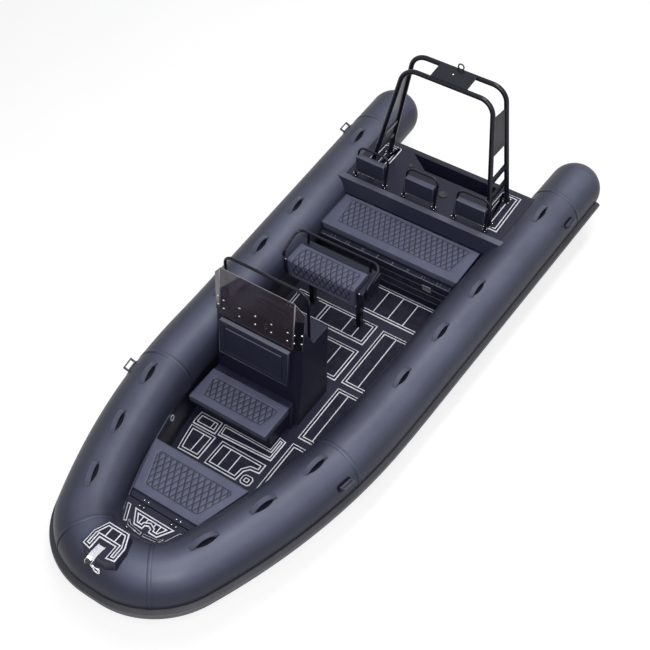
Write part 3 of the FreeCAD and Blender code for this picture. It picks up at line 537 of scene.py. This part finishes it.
def vinyl(name, colour, quilted):
    """Grained vinyl. The attribute sewn holds the quilt's two counts and the distance inside
    the border seam."""
    mat = finish(name, colour, 0.5)
    dirt = mottle(mat, colour, tuple(c * 1.2 for c in colour), 5.0)
    scuff(mat, 0.42, 0.58, 9.0)
    pebbles = texture(mat, "Voronoi", Scale=480.0)
    skin = grain(mat, pebbles, "Distance", 0.25, 0.0006)
    sewn = part(mat, "Attribute")
    sewn.attribute_name = "sewn"
    split = part(mat, "SeparateXYZ")
    wire(mat, sewn, "Vector", split, "Vector")

    def sum_of(kind, a, out_a, b=None, out_b=None, value=0.5):
        node = part(mat, "Math")
        node.operation = kind
        wire(mat, a, out_a, node, 0)
        node.inputs[1].default_value = value
        if b:
            wire(mat, b, out_b, node, 1)
        return node

    # distance from the border seam, 0 on it
    off_seam = sum_of("ABSOLUTE", split, "Z")
    seam = part(mat, "MapRange", From_Max=0.004)
    wire(mat, off_seam, 0, seam, "Value")
    height = seam
    if quilted:
        rising = sum_of("ADD", split, "X", split, "Y")
        falling = sum_of("SUBTRACT", split, "X", split, "Y")
        nearest = sum_of("MINIMUM", sum_of("PINGPONG", rising, 0), 0,
                         sum_of("PINGPONG", falling, 0), 0)
        cell = part(mat, "MapRange", From_Max=0.17)
        cell.interpolation_type = "SMOOTHSTEP"
        wire(mat, nearest, 0, cell, "Value")
        outside = part(mat, "MapRange", From_Min=0.0, From_Max=0.003, To_Min=1.0,
                       To_Max=0.0)
        wire(mat, split, "Z", outside, "Value")
        quilt = sum_of("MAXIMUM", cell, 0, outside, 0)
        height = sum_of("MINIMUM", quilt, 0, seam, 0)
    crease_bump = part(mat, "Bump", Strength=0.8, Distance=0.004)
    wire(mat, height, 0, crease_bump, "Height")
    wire(mat, crease_bump, "Normal", skin, "Normal")
    # painted shade: the colour darkens down into the quilting's valleys and along the border seam
    painted_lightness = part(mat, "MapRange", To_Min=0.25, To_Max=1.0)
    wire(mat, height, 0, painted_lightness, "Value")
    multiply(mat, dirt, painted_lightness, "Result")
    return mat


seat_vinyl = vinyl("seat_vinyl", vinyl_colour, True)
back_vinyl = vinyl("back_vinyl", (0.020, 0.023, 0.042), False)
for mat in (seat_vinyl, back_vinyl):
    dull(mat, 0.25)
piping_vinyl = finish("piping_vinyl", tuple(c * 0.9 for c in vinyl_colour), 0.45)
scuff(piping_vinyl, 0.4, 0.55, 20.0)
# paler vinyl for the backrests' upward faces, a painted highlight
painted_highlight_vinyl = vinyl("painted_highlight_vinyl", (0.120, 0.130, 0.165), False)


def shrunk(name, by):
    """The CAD cushion, smaller by that much on every side."""
    bm = merged_copy(name)
    for sheet in list(islands(bm)):
        verts = list({v for f in sheet for v in f.verts})
        low = Vector(min(v.co[i] for v in verts) for i in range(3))
        high = Vector(max(v.co[i] for v in verts) for i in range(3))
        middle = (low + high) / 2
        for v in verts:
            for i in range(3):
                v.co[i] = middle[i] + (v.co[i] - middle[i]) * (1 - 2 * by / (high[i] - low[i]))
    return bm


def panel_edges(bm, way):
    """Loops round the panels of the cover that face that way."""
    loops = []
    for sheet in list(islands(bm)):
        panel = max((f for f in sheet if f.normal.dot(way) > 0.9), key=lambda f: f.calc_area())
        loops.append([v.co.copy() for v in panel.verts])
    return loops


def off_loop(point, loop):
    """Distance from a point to a closed line of points."""
    best = 1e9
    for a, b in zip(loop, loop[1:] + loop[:1]):
        along = b - a
        share = max(0.0, min(1.0, (point - a).dot(along) / along.length_squared))
        best = min(best, (a + along * share - point).length)
    return best


def inside(point, field):
    """Distance of a plan point inside a field's outline; less than 0 outside it."""
    best = off_loop(point, field)
    within = False
    for a, b in zip(field, field[1:] + field[:1]):
        if (a.y > point.y) != (b.y > point.y):
            if point.x < a.x + (b.x - a.x) * (point.y - a.y) / (b.y - a.y):
                within = not within
    return best if within else -best


def blow_up(cover, held, cap):
    """Run the cover as cloth under pressure, with points held where held() says."""
    still = cover.vertex_groups.new(name="held")
    still.add([v.index for v in cover.data.vertices if held(v.co)], 1.0, "REPLACE")
    cloth = cover.modifiers.new("cloth", "CLOTH")
    cloth.settings.quality = 4
    cloth.settings.mass = 0.3
    cloth.settings.use_pressure = True
    cloth.settings.uniform_pressure_force = 4.0
    cloth.settings.vertex_group_mass = "held"
    cloth.settings.effector_weights.gravity = 0.0
    cloth.collision_settings.use_collision = False
    cloth.point_cache.frame_start = 1
    cloth.point_cache.frame_end = 20
    for step in range(1, 21):
        bpy.context.scene.frame_set(step)
    moved = cover.evaluated_get(bpy.context.evaluated_depsgraph_get()).to_mesh()
    places = []
    for before, after in zip(cover.data.vertices, moved.vertices):
        step = after.co - before.co
        if step.length > cap:
            step *= cap / step.length
        places.append(before.co + step)
    cover.modifiers.remove(cloth)
    cover.vertex_groups.remove(still)
    for vertex, co in zip(cover.data.vertices, places):
        vertex.co = co
    bpy.context.scene.frame_set(1)


def rope(name, lines, radius, resolution, closed):
    """Mesh of a round section run along lines of points."""
    curve = bpy.data.curves.new(name, "CURVE")
    curve.dimensions = "3D"
    curve.bevel_depth = radius
    curve.bevel_resolution = resolution
    for points in lines:
        run = curve.splines.new("POLY")
        run.points.add(len(points) - 1)
        for point, co in zip(run.points, points):
            point.co = (*co, 1.0)
        run.use_cyclic_u = closed
    line = bpy.data.objects.new(name + "_rope", curve)
    mesh = bpy.data.meshes.new_from_object(line)
    bpy.data.objects.remove(line)
    return mesh


def cushion(name, body, mats, voxel, cap, seams, field, unfold, base):
    """Sewn cushion in place of a CAD one. seams are the ways its piped panels face, field the
    border seam's outline on the unfolded top, base(point) is true where it is glued down."""
    bm = shrunk(name, 0.003)
    loops = [loop for way in seams for loop in panel_edges(bm, Vector(way))]
    mesh = bpy.data.meshes.new(name)
    bm.to_mesh(mesh)
    bm.free()
    solid = placed(name, mesh)
    remesh = solid.modifiers.new("even mesh", "REMESH")
    remesh.mode = "VOXEL"
    remesh.voxel_size = voxel
    even = bpy.data.meshes.new_from_object(
        solid.evaluated_get(bpy.context.evaluated_depsgraph_get()))
    bpy.data.objects.remove(solid)
    cover = placed(name + "_cover", even)

    def held(point):
        return base(point) or min(off_loop(point, loop) for loop in loops) < voxel * 0.9

    blow_up(cover, held, cap)
    border = [Vector((x, y, 0)) for x, y in field]
    counts = even.attributes.new("sewn", "FLOAT_VECTOR", "POINT")
    sink = []
    for vertex in even.vertices:
        flat = unfold(vertex.co)
        depth = -0.1
        if flat is not None and not base(vertex.co):
            depth = inside(Vector((flat[0], flat[1], 0)), border)
        else:
            flat = (0.0, 0.0)
        u, v = flat[1] / quilt_pitch, flat[0] / quilt_length
        counts.data[vertex.index].vector = (u, v, depth)
        line = min(abs(c - round(c)) for c in (u + v, u - v)) * quilt_pitch
        valley = math.exp(-(line / 0.010) ** 2) if mats[0] is seat_vinyl else 0.0
        edge = math.exp(-(depth / 0.008) ** 2)
        drop = max(valley * min(1.0, max(0.0, depth / 0.01)), edge)
        sink.append(vertex.normal * drop * quilt_depth)
    for vertex, step in zip(even.vertices, sink):
        vertex.co -= step
    for mat in mats:
        even.materials.append(mat)
    for face in even.polygons:
        face.use_smooth = True
        # a backrest's upward faces take a paler vinyl, a painted highlight where they face the
        # light
        if mats[0] is back_vinyl and face.normal.z > 0.55:
            face.material_index = 1
    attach(cover, body)
    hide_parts(name)

    piped = rope(name + "_piping", loops, piping_radius, 2, True)
    for face in piped.polygons:
        face.use_smooth = True
    piped.materials.append(mats[-1])
    piping = placed(name + "_piping", piped)
    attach(piping, body)
    return cover


def from_above(point):
    return point.x, point.y


def above(z):
    return lambda point: point.z < z


console_y = -0.2238
console_front = 0.88         # its face at console_foot_z, and how it leans back with height
console_foot_z = 0.1
console_rake = 0.1067
glued = 0.012                # the cover's lowest part, which is flat on its board
low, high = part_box("bench_cushion")
cushion("bench_cushion", "bench_lid_body", [seat_vinyl, piping_vinyl], 0.0075, 0.007, [(0, 0, 1)],
        [(-1.53, -0.68), (-1.185, -0.64), (-1.185, 0.64), (-1.53, 0.68)], from_above,
        above(low.z + glued))
low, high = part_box("front_seat_cushion")
middle_y = (low.y + high.y) / 2
cushion("front_seat_cushion", "front_seat_lid_body", [seat_vinyl, piping_vinyl], 0.006, 0.006,
        [(0, 0, 1)], [(1.0, middle_y - 0.33), (1.03, middle_y - 0.35), (1.215, middle_y - 0.31),
                      (1.215, middle_y + 0.31), (1.03, middle_y + 0.35), (1.0, middle_y + 0.33)],
        from_above, above(low.z + glued))
low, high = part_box("bow_cushion")
cushion("bow_cushion", "bow_lid", [seat_vinyl, piping_vinyl], 0.006, 0.006, [(0, 0, 1)],
        [(2.01, -0.37), (2.04, -0.385), (2.325, -0.275), (2.34, -0.25), (2.34, 0.25),
         (2.325, 0.275), (2.04, 0.385), (2.01, 0.37)], from_above, above(low.z + glued))
low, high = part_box("helm_cushion")
helm_front, helm_top = high.x, high.z
helm_ledge_x = -0.290        # the seat that the helm cushion is glued to
helm_ledge_z = 0.812


def over_the_front(point):
    """Plan of the helm cushion's cover, with its front flap folded out."""
    if point.x > helm_front - 0.03 and point.z < helm_top - 0.02:
        return helm_front + helm_top - point.z - 0.03, point.y
    return point.x, point.y


def on_the_seat(point):
    return point.x < helm_ledge_x and point.z < helm_ledge_z


cushion("helm_cushion", "boat", [seat_vinyl, piping_vinyl], 0.006, 0.006,
        [(0, 1, 0), (0, -1, 0)],
        [(-0.44, console_y - 0.30), (-0.42, console_y - 0.32), (-0.09, console_y - 0.32),
         (-0.07, console_y - 0.30), (-0.07, console_y + 0.30), (-0.09, console_y + 0.32),
         (-0.42, console_y + 0.32), (-0.44, console_y + 0.30)], over_the_front, on_the_seat)


def from_ahead(point):
    return point.z, point.y


def on_the_console(point):
    return point.x < console_front - console_rake * (point.z - console_foot_z) + glued


cushion("console_backrest", "boat", [back_vinyl, painted_highlight_vinyl, piping_vinyl], 0.006, 0.006,
        [(1, 0, console_rake)],
        [(0.70, console_y - 0.31), (0.99, console_y - 0.31), (0.99, console_y + 0.31),
         (0.70, console_y + 0.31)], from_ahead, on_the_console)
# The stern pads have piping and no border seam, and stand free of any board.
cushion("backrest_pads", "boat", [back_vinyl, piping_vinyl], 0.006, 0.008,
        [(1, 0, 0), (-1, 0, 0)],
        [(0.0, 0.0), (0.001, 0.0), (0.001, 0.001)], lambda p: None, lambda p: False)

# ---- rails, hoops and arch ------------------------------------------------------------------
# Bent aluminium tube and plate in satin black powder coat, welded to round feet.
black_coat = finish("powder_coat", (0.005, 0.005, 0.012), 0.28)
scuff(black_coat, 0.2, 0.36, 12.0)
dull(black_coat, 0.28)
coat_grain = texture(black_coat, "Noise", Scale=700.0, Detail=2.0)
grain(black_coat, coat_grain, "Fac", 0.15, 0.0004)
for name in ("screen_rail", "helm_rail", "backrest_hoops", "arch_front_hoop", "arch_aft_hoop",
             "arch_top_plate", "arch_side_plates", "arch_steps", "arch_eye", "helm_seat_posts",
             "bench_hinges", "front_seat_hinges"):
    paint(name, black_coat)
moulded("bow_hinges", 0.0012, black_coat)

# ---- bow fittings ---------------------------------------------------------------------------
# Anchor channel, shackle and towing eye in polished stainless, scratched fine by use.
polished = finish("stainless", (0.74, 0.75, 0.78), 0.16, 1.0)
scuff(polished, 0.10, 0.26, 25.0)
fine_scratches = texture(polished, "Noise", Scale=300.0, Detail=2.0)
grain(polished, fine_scratches, "Fac", 0.08, 0.0003)
paint("bow_eye", polished)
moulded("roller_channel", 0.0015, polished, segments=2)

shackle_x = 3.292
shackle_y = (0.036, 0.092)
shackle_z = 0.962
shackle_half = (shackle_y[1] - shackle_y[0]) / 2
leg_length = 0.040
rod = 0.0065
rod_sides = 12


def leg(bm, geom, rise):
    """Pull the end face straight up or down, and give back the new end."""
    pulled = bmesh.ops.extrude_face_region(bm, geom=geom)["geom"]
    bmesh.ops.translate(bm, verts=picked(pulled, bmesh.types.BMVert), vec=(0, 0, rise))
    return picked(pulled, bmesh.types.BMFace)


bm = bmesh.new()
middle = Vector((shackle_x, sum(shackle_y) / 2, shackle_z - leg_length))
start = Matrix.Translation((shackle_x, shackle_y[1], shackle_z))
bmesh.ops.create_circle(bm, segments=rod_sides, radius=rod, matrix=start, cap_ends=True)
bend = bmesh.ops.spin(bm, geom=leg(bm, bm.faces[:], -leg_length), cent=middle,
                      axis=(-1, 0, 0), angle=math.pi, steps=14)
leg(bm, picked(bend["geom_last"], bmesh.types.BMFace), leg_length)
left_inside = [f for f in bm.faces
               if len(f.verts) == rod_sides and f.calc_center_median().z < shackle_z - 0.001]
bmesh.ops.delete(bm, geom=left_inside, context="FACES_ONLY")
across = Matrix.Rotation(math.pi / 2, 4, "X")
# the pin, then the two eyes that it passes through
for y, radius, length, segments in ((middle.y, 0.0055, 2 * shackle_half + 0.026, 14),
                                    (shackle_y[0], 0.012, 0.010, 18),
                                    (shackle_y[1], 0.012, 0.010, 18)):
    bmesh.ops.create_cone(bm, segments=segments, radius1=radius, radius2=radius, depth=length,
                          cap_ends=True,
                          matrix=Matrix.Translation((shackle_x, y, shackle_z)) @ across)
outward(bm)
show("bow_shackle", bm, [polished], "boat")

# ---- screws ---------------------------------------------------------------------------------
# Domed stainless heads: in two rows along the foot of the screen, round the feet of the hoops
# and the arch, and four to each hinge at the bow.


def dome(bm, spot, way, radius):
    """Domed screw head on a face that looks that way."""
    turn = Vector(way).to_track_quat("Z", "Y").to_matrix().to_4x4()
    flat = Matrix.Diagonal((1, 1, 0.5, 1))
    bmesh.ops.create_uvsphere(bm, u_segments=14, v_segments=8, radius=radius,
                              matrix=Matrix.Translation(spot) @ turn @ flat)


def ring_of_domes(bm, middle, reach, turns, radius):
    """Screw heads round a foot, at the given turns in radians."""
    for turn in turns:
        dome(bm, Vector(middle) + Vector((math.cos(turn), math.sin(turn), 0)) * reach,
             (0, 0, 1), radius)


screen_front = console_front + 0.007
screen_fold = 0.387          # from the console's middle to each fold of the screen
wing_breadth = 0.0807
wing_back = 0.040
screen_screw = 0.0105
screw_pitch = 0.170


def screen_face(y, z):
    """Point on the outside of the screen's front panel."""
    return Vector((screen_front - console_rake * (z - console_foot_z), y, z))


bm = bmesh.new()
for z in (1.257, 1.160):
    for step in range(-2, 3):
        dome(bm, screen_face(console_y - 0.010 + screw_pitch * step, z), (1, 0, console_rake),
             screen_screw)
    # on the wings, at these shares of their breadth
    for side, share in ((1, 0.12), (1, 0.86), (-1, 0.45)):
        spot = screen_face(console_y + side * (screen_fold + wing_breadth * share), z)
        spot.x -= wing_back * share
        dome(bm, spot, (wing_breadth, side * wing_back, 0.01), screen_screw)
hoop_foot_x = -1.768
hoop_leg = 0.175
for y in (-0.625, -0.050, 0.530):
    for leg_y in (y - hoop_leg, y + hoop_leg):
        ring_of_domes(bm, (hoop_foot_x, leg_y, 0.708), 0.0235, (0.5, 2.6, 4.7), 0.0055)
for foot in arch_feet:
    ring_of_domes(bm, (foot.x, foot.y, 0.710), 0.040, (0.8, 2.4, 3.9, 5.5), 0.0055)
# one in the arch's top plate, and one on each end of the helm seat
dome(bm, (-2.217, -0.018, 2.0112), (0.1, 0, 1), 0.009)
for side in (-1, 1):
    dome(bm, (-0.262, console_y + side * 0.412, 0.845), (1, 0, 0.2), 0.008)


def hinge_screws(bm, x, z):
    """The two screws of a leaf on each bow hinge."""
    for hinge_y in (-0.167, 0.167):
        for across in (-0.022, 0.022):
            dome(bm, (x, hinge_y + across, z), (0, 0, 1), 0.006)


hinge_screws(bm, 2.5235, 0.6035)
show("screw_heads", bm, [polished], "boat")
bm = bmesh.new()
hinge_screws(bm, 2.4600, 0.5985)
show("bow_lid_screws", bm, [polished], "bow_lid")

# ---- deck fittings --------------------------------------------------------------------------
# A fuel filler and a cable gland on the aft deck, two staples ahead of the bow mat, a drain
# plate and ribs on the bench's riser, and a courtesy light in the starboard wall.
cap_plastic = finish("cap_plastic", (0.010, 0.010, 0.013), 0.35)
scuff(cap_plastic, 0.28, 0.45, 30.0)
pale_plastic = finish("pale_plastic", (0.60, 0.61, 0.63), 0.4)
mottle(pale_plastic, (0.55, 0.56, 0.58), (0.64, 0.65, 0.67), 30.0)
plate_grey = finish("plate_grey", (0.19, 0.20, 0.24), 0.45)
mottle(plate_grey, (0.17, 0.18, 0.21), (0.22, 0.23, 0.27), 40.0)

for name, x, y, radius in (("fuel_filler", -1.991, 0.104, 0.046),
                           ("cable_gland", -2.187, -0.388, 0.027)):
    bm = bmesh.new()
    bmesh.ops.create_cone(bm, segments=40, radius1=radius, radius2=radius, depth=0.016,
                          cap_ends=True, matrix=Matrix.Translation((x, y, 0.7005)))
    top = [f for f in bm.faces if f.normal.z > 0.9]
    bmesh.ops.inset_region(bm, faces=top, thickness=radius * 0.25, depth=0.0)
    bmesh.ops.inset_region(bm, faces=top, thickness=radius * 0.08, depth=-0.0035)
    round_off(bm, 0.6, 0.0012)
    show(name, bm, [cap_plastic], "boat")

staple_z = 0.601
staple_half = 0.013
wire_sides = 10
bm = bmesh.new()
for x, y in ((2.744, -0.150), (2.741, -0.070)):
    ring = Matrix.Translation((x, y - staple_half, staple_z))
    bmesh.ops.create_circle(bm, segments=wire_sides, radius=0.0035, matrix=ring, cap_ends=True)
    face = [f for f in bm.faces if len(f.verts) == wire_sides][-1:]
    bmesh.ops.spin(bm, geom=face, cent=(x, y, staple_z), axis=(1, 0, 0), angle=-math.pi,
                   steps=12)
outward(bm)
show("bow_staples", bm, [polished], "boat")

riser_lean = 0.25            # how far the riser comes forward for each unit of height
riser_toe_x = -1.0895        # its foot, and the height where it starts to lean
riser_toe_z = 0.16
bm = bmesh.new()
for z in (0.165, 0.290, 0.415):
    where = Matrix.Translation((riser_toe_x + riser_lean * (z - riser_toe_z), 0, z))
    bmesh.ops.create_cube(bm, size=1.0, matrix=where @ Matrix.Diagonal((0.006, 1.46, 0.008, 1)))
round_off(bm, 1.0, 0.0015)
show("riser_ribs", bm, [ledge_grey], "boat")
bm = bmesh.new()
plate = Matrix.Translation((-1.0285, 0.495, 0.400)) @ Matrix.Rotation(math.atan(riser_lean), 4, "Y")
bmesh.ops.create_cube(bm, size=1.0, matrix=plate @ Matrix.Diagonal((0.010, 0.098, 0.092, 1)))
front = [f for f in bm.faces if f.normal.x > 0.9]
bmesh.ops.inset_region(bm, faces=front, thickness=0.012, depth=0.0)
bmesh.ops.inset_region(bm, faces=front, thickness=0.002, depth=-0.003)
round_off(bm, 1.0, 0.0015)
show("riser_plate", bm, [plate_grey], "boat")

light_at = Vector((1.580, -0.6130, 0.425))
bm = bmesh.new()
oval = Matrix.Translation(light_at) @ Matrix.Diagonal((1.0, 1.0, 1.45, 1)) @ across
bmesh.ops.create_circle(bm, segments=36, radius=0.026, matrix=oval)
hoop = bmesh.ops.extrude_edge_only(bm, edges=bm.edges[:])
bmesh.ops.scale(bm, vec=(0.68, 1.0, 0.68), space=Matrix.Translation(-light_at),
                verts=picked(hoop["geom"], bmesh.types.BMVert))
outward(bm)
bmesh.ops.solidify(bm, geom=bm.faces[:], thickness=0.006)
outward(bm)
show("courtesy_light", bm, [pale_plastic], "boat")

# ---- handles, loops and welt ----------------------------------------------------------------
# Crescent handles and square lifting loops, moulded in rubber and glued to the tubes, over thin
# black sheets that are painted shadow under them. A rubber welt covers the joint between the tubes
# and the bow mouldings.
handle_rubber = finish("handle_rubber", (0.070, 0.075, 0.112), 0.42)
scuff(handle_rubber, 0.34, 0.5, 10.0)
dull(handle_rubber, 0.3)
moulded("grab_handles", 0.006, handle_rubber)
moulded("side_loops", 0.003, handle_rubber)

# painted shadow: near-black sheet laid where the handles' hollows fall in shade
painted_shadow_rubber = finish("painted_shadow_rubber", (0.004, 0.004, 0.010), 0.6)
scuff(painted_shadow_rubber, 0.5, 0.7, 10.0)
dull(painted_shadow_rubber, 0.12)
pad_thickness = 0.003
handle_at = (-2.228, -1.004, -0.356, 0.290, 1.524, 2.088, 2.627)
loop_at = (-2.420, 1.420)
# half length, half width, degrees up from the tube's side, and how square its ends are
handle_pad = (0.118, 0.038, 90.0, 2.0)
loop_pad = (0.084, 0.034, 28.0, 8.0)


def painted_shadow_pad(bm, x, side, half_length, half_width, rise, squareness):
    """Thin black sheet that follows the tube, pointed or square at its ends: painted shadow under a
    handle or loop.
    """
    lengthwise, rows = 16, 7
    level = tube_radius + pad_thickness
    grid = []
    for step in range(lengthwise + 1):
        u = 2 * step / lengthwise - 1
        where = tube_frame(x + 0.97 * half_length * u)
        room = half_width * max(0.0, 1 - abs(u) ** squareness) ** 0.6 + 0.002
        for row in range(rows):
            angle = math.radians(rise) + room * (2 * row / (rows - 1) - 1) / tube_radius
            spot = where @ Vector((level * math.cos(angle), level * math.sin(angle), 0))
            grid.append(bm.verts.new((spot.x, spot.y * side, spot.z)))
    skin = []
    for step in range(lengthwise):
        for row in range(rows - 1):
            a = step * rows + row
            skin.append(bm.faces.new((grid[a], grid[a + 1], grid[a + rows + 1],
                                      grid[a + rows])))
    inner_side = bmesh.ops.extrude_face_region(bm, geom=skin)["geom"]
    middle = tube_frame(x).translation
    middle.y *= side
    for vert in picked(inner_side, bmesh.types.BMVert):
        vert.co += (middle - vert.co).normalized() * 2 * pad_thickness


for name, places, shape in [("handle_painted_shadows", handle_at, handle_pad),
                            ("loop_painted_shadows", loop_at, loop_pad)]:
    bm = bmesh.new()
    for x in places:
        for side in (-1, 1):
            painted_shadow_pad(bm, x, side, *shape)
    outward(bm)
    show(name, bm, [painted_shadow_rubber], "boat")

welt_start = 1.66
welt_run = 1.09
welt_steps = 24
inner_line = []
for step in range(welt_steps + 1):
    where = tube_frame(welt_start + welt_run * step / welt_steps)
    inner_line.append(where.translation - where.col[0].to_3d() * (tube_radius + 0.004))
both_sides = [[(spot.x, spot.y * side, spot.z) for spot in inner_line] for side in (-1, 1)]
bm = bmesh.new()
bm.from_mesh(rope("welt", both_sides, 0.0055, 3, False))
bmesh.ops.remove_doubles(bm, verts=bm.verts, dist=1e-5)
bmesh.ops.holes_fill(bm, edges=bm.edges[:], sides=0)
outward(bm)
show("bow_welts", bm, [handle_rubber], "boat")

# ---- windscreen -----------------------------------------------------------------------------
# One sheet of smoked acrylic, heat-bent at two folds and screwed to the console. Its sawn edges,
# and a rod along each fold, are painted an opaque pale grey, a painted highlight where they catch
# the light.
smoked = finish("smoked_acrylic", (0.22, 0.18, 0.225), 0.03)
shader(smoked).inputs["Transmission Weight"].default_value = 0.84
shader(smoked).inputs["IOR"].default_value = 1.49
film = texture(smoked, "Noise", Scale=8.0, Detail=4.0)
hazy = part(smoked, "MapRange", To_Min=0.01, To_Max=0.05)
wire(smoked, film, "Fac", hazy, "Value")
wire(smoked, hazy, "Result", shader(smoked), "Roughness")
edge_painted_highlight = finish("acrylic_edge_highlight", (0.20, 0.19, 0.21), 0.25)
scuff(edge_painted_highlight, 0.18, 0.35, 60.0)
# Painted shade: the starboard wing is painted near black, the port one only up to the console's
# top.
painted_shade_black = finish("painted_shade_black", (0.008, 0.008, 0.014), 0.2)
scuff(painted_shade_black, 0.14, 0.28, 30.0)
shade_top = 1.42
screen_foot_z = 1.085
screen_head_z = 1.612
bm = merged_copy("windscreen")
bmesh.ops.bisect_plane(bm, geom=bm.faces[:] + bm.edges[:] + bm.verts[:], dist=1e-5,
                       plane_co=(0, 0, shade_top), plane_no=(0, 0, 1))
screen = show("windscreen_sheet", bm, [smoked, edge_painted_highlight, painted_shade_black], "boat",
              smooth=False)
for face in screen.data.polygons:
    if abs(face.normal.x) < 0.6:
        face.material_index = 1
    elif abs(face.normal.y) > 0.25 and (face.center.z < shade_top or face.center.y < console_y):
        face.material_index = 2
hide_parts("windscreen")
# painted highlight: a pale rod along each fold of the screen
bm = bmesh.new()
for side in (-1, 1):
    foot = screen_face(console_y + side * (screen_fold + 0.003), screen_foot_z)
    head = screen_face(console_y + side * (screen_fold + 0.006), screen_head_z)
    up = (head - foot).normalized()
    tall = Matrix.Translation((foot + head) / 2) @ up.to_track_quat("Z", "X").to_matrix().to_4x4()
    bmesh.ops.create_cone(bm, segments=12, radius1=0.0065, radius2=0.0065,
                          depth=(head - foot).length, cap_ends=True, matrix=tall)
show("screen_fold_highlights", bm, [edge_painted_highlight], "boat")

# ---- steering wheel -------------------------------------------------------------------------
# Grained polyurethane moulded over a steel frame, on a short shaft from the dash.
wheel_grip = finish("wheel_grip", (0.018, 0.018, 0.021), 0.5)
scuff(wheel_grip, 0.38, 0.55, 18.0)
pebble = texture(wheel_grip, "Voronoi", Scale=420.0)
grain(wheel_grip, pebble, "Distance", 0.3, 0.0006)
moulded("steering_wheel", 0.003, wheel_grip, "wheel")

# ---- anchor roller --------------------------------------------------------------------------
# Turned black rubber, waisted to guide the rope, free on a stainless pin.
roller_rubber = finish("roller_rubber", (0.020, 0.020, 0.022), 0.6)
scuff(roller_rubber, 0.45, 0.7, 40.0)
rope_wear = texture(roller_rubber, "Noise", Scale=220.0, Detail=4.0)
grain(roller_rubber, rope_wear, "Fac", 0.35, 0.0008)
paint("anchor_roller", roller_rubber)

# ---- floor, light and camera ----------------------------------------------------------------
# A pale floor at the water's level, a long soft lamp overhead and a white surround.
floor_half = 60.0
bm = bmesh.new()
bmesh.ops.create_grid(bm, x_segments=1, y_segments=1, size=floor_half)
floor_mesh = bpy.data.meshes.new("floor")
bm.to_mesh(floor_mesh)
bm.free()
floor = placed("floor", floor_mesh)
floor_paint = finish("floor_paint", (0.40, 0.40, 0.41), 0.8)
mottle(floor_paint, (0.39, 0.39, 0.40), (0.41, 0.41, 0.42), 0.7)
floor_mesh.materials.append(floor_paint)


def seen_directly(owner):
    """1 where a surface is looked at, mirrored or seen through glass, and 0 in diffuse light."""
    ray = part(owner, "LightPath")
    most, out = ray, "Is Camera Ray"
    for other in ("Is Glossy Ray", "Is Transmission Ray"):
        larger = part(owner, "Math")
        larger.operation = "MAXIMUM"
        wire(owner, most, out, larger, 0)
        wire(owner, ray, other, larger, 1)
        most, out = larger, 0
    return most


# The floor looks white, and still takes the boat's shadow.
shader(floor_paint).inputs["Emission Color"].default_value = (1.0, 1.0, 1.0, 1.0)
faint = part(floor_paint, "Math")
faint.operation = "MULTIPLY"
faint.inputs[1].default_value = 0.74
wire(floor_paint, seen_directly(floor_paint), 0, faint, 0)
wire(floor_paint, faint, 0, shader(floor_paint), "Emission Strength")

world = bpy.data.worlds.new("world")
world.use_nodes = True
bpy.context.scene.world = world
sky = world.node_tree.nodes["Background"]
sky.inputs["Color"].default_value = (0.97, 0.98, 1.0, 1.0)
lit = part(world, "MapRange", To_Min=0.10)
wire(world, seen_directly(world), 0, lit, "Value")
wire(world, lit, "Result", sky, "Strength")


def lamp(name, spot, aim, breadth, length, power):
    data = bpy.data.lights.new(name, "AREA")
    data.shape = "RECTANGLE"
    data.size = breadth
    data.size_y = length
    data.energy = power
    turn = (Vector(aim) - Vector(spot)).to_track_quat("-Z", "Y").to_matrix().to_4x4()
    placed(name, data).matrix_world = Matrix.Translation(spot) @ turn


lamp("overhead", (-2.0, 0.9, 8.4), (-2.0, 0.35, 0.4), 12.0, 2.2, 560.0)
lamp("key", (6.0, 4.0, 8.0), (0, 0, 0.4), 3.0, 3.0, 460.0)

azimuth, elevation, roll = math.radians(123.7475), math.radians(49.4666), math.radians(-0.4615)
back = Vector((math.sin(azimuth) * math.cos(elevation),
               -math.cos(azimuth) * math.cos(elevation), math.sin(elevation)))
level = Vector((0, 0, 1)).cross(back).normalized()
raised = back.cross(level)
right = level * math.cos(roll) + raised * math.sin(roll)
up = raised * math.cos(roll) - level * math.sin(roll)
lens = bpy.data.cameras.new("camera")
lens.sensor_width = 36.0
lens.lens = 66.05
lens.clip_end = 300.0
camera = placed("camera", lens)
camera.matrix_world = (Matrix.Translation((6.05831, 4.02969, 9.05516))
                       @ Matrix((right, up, back)).transposed().to_4x4())
bpy.context.scene.camera = camera
bpy.context.scene.view_settings.view_transform = "Standard"
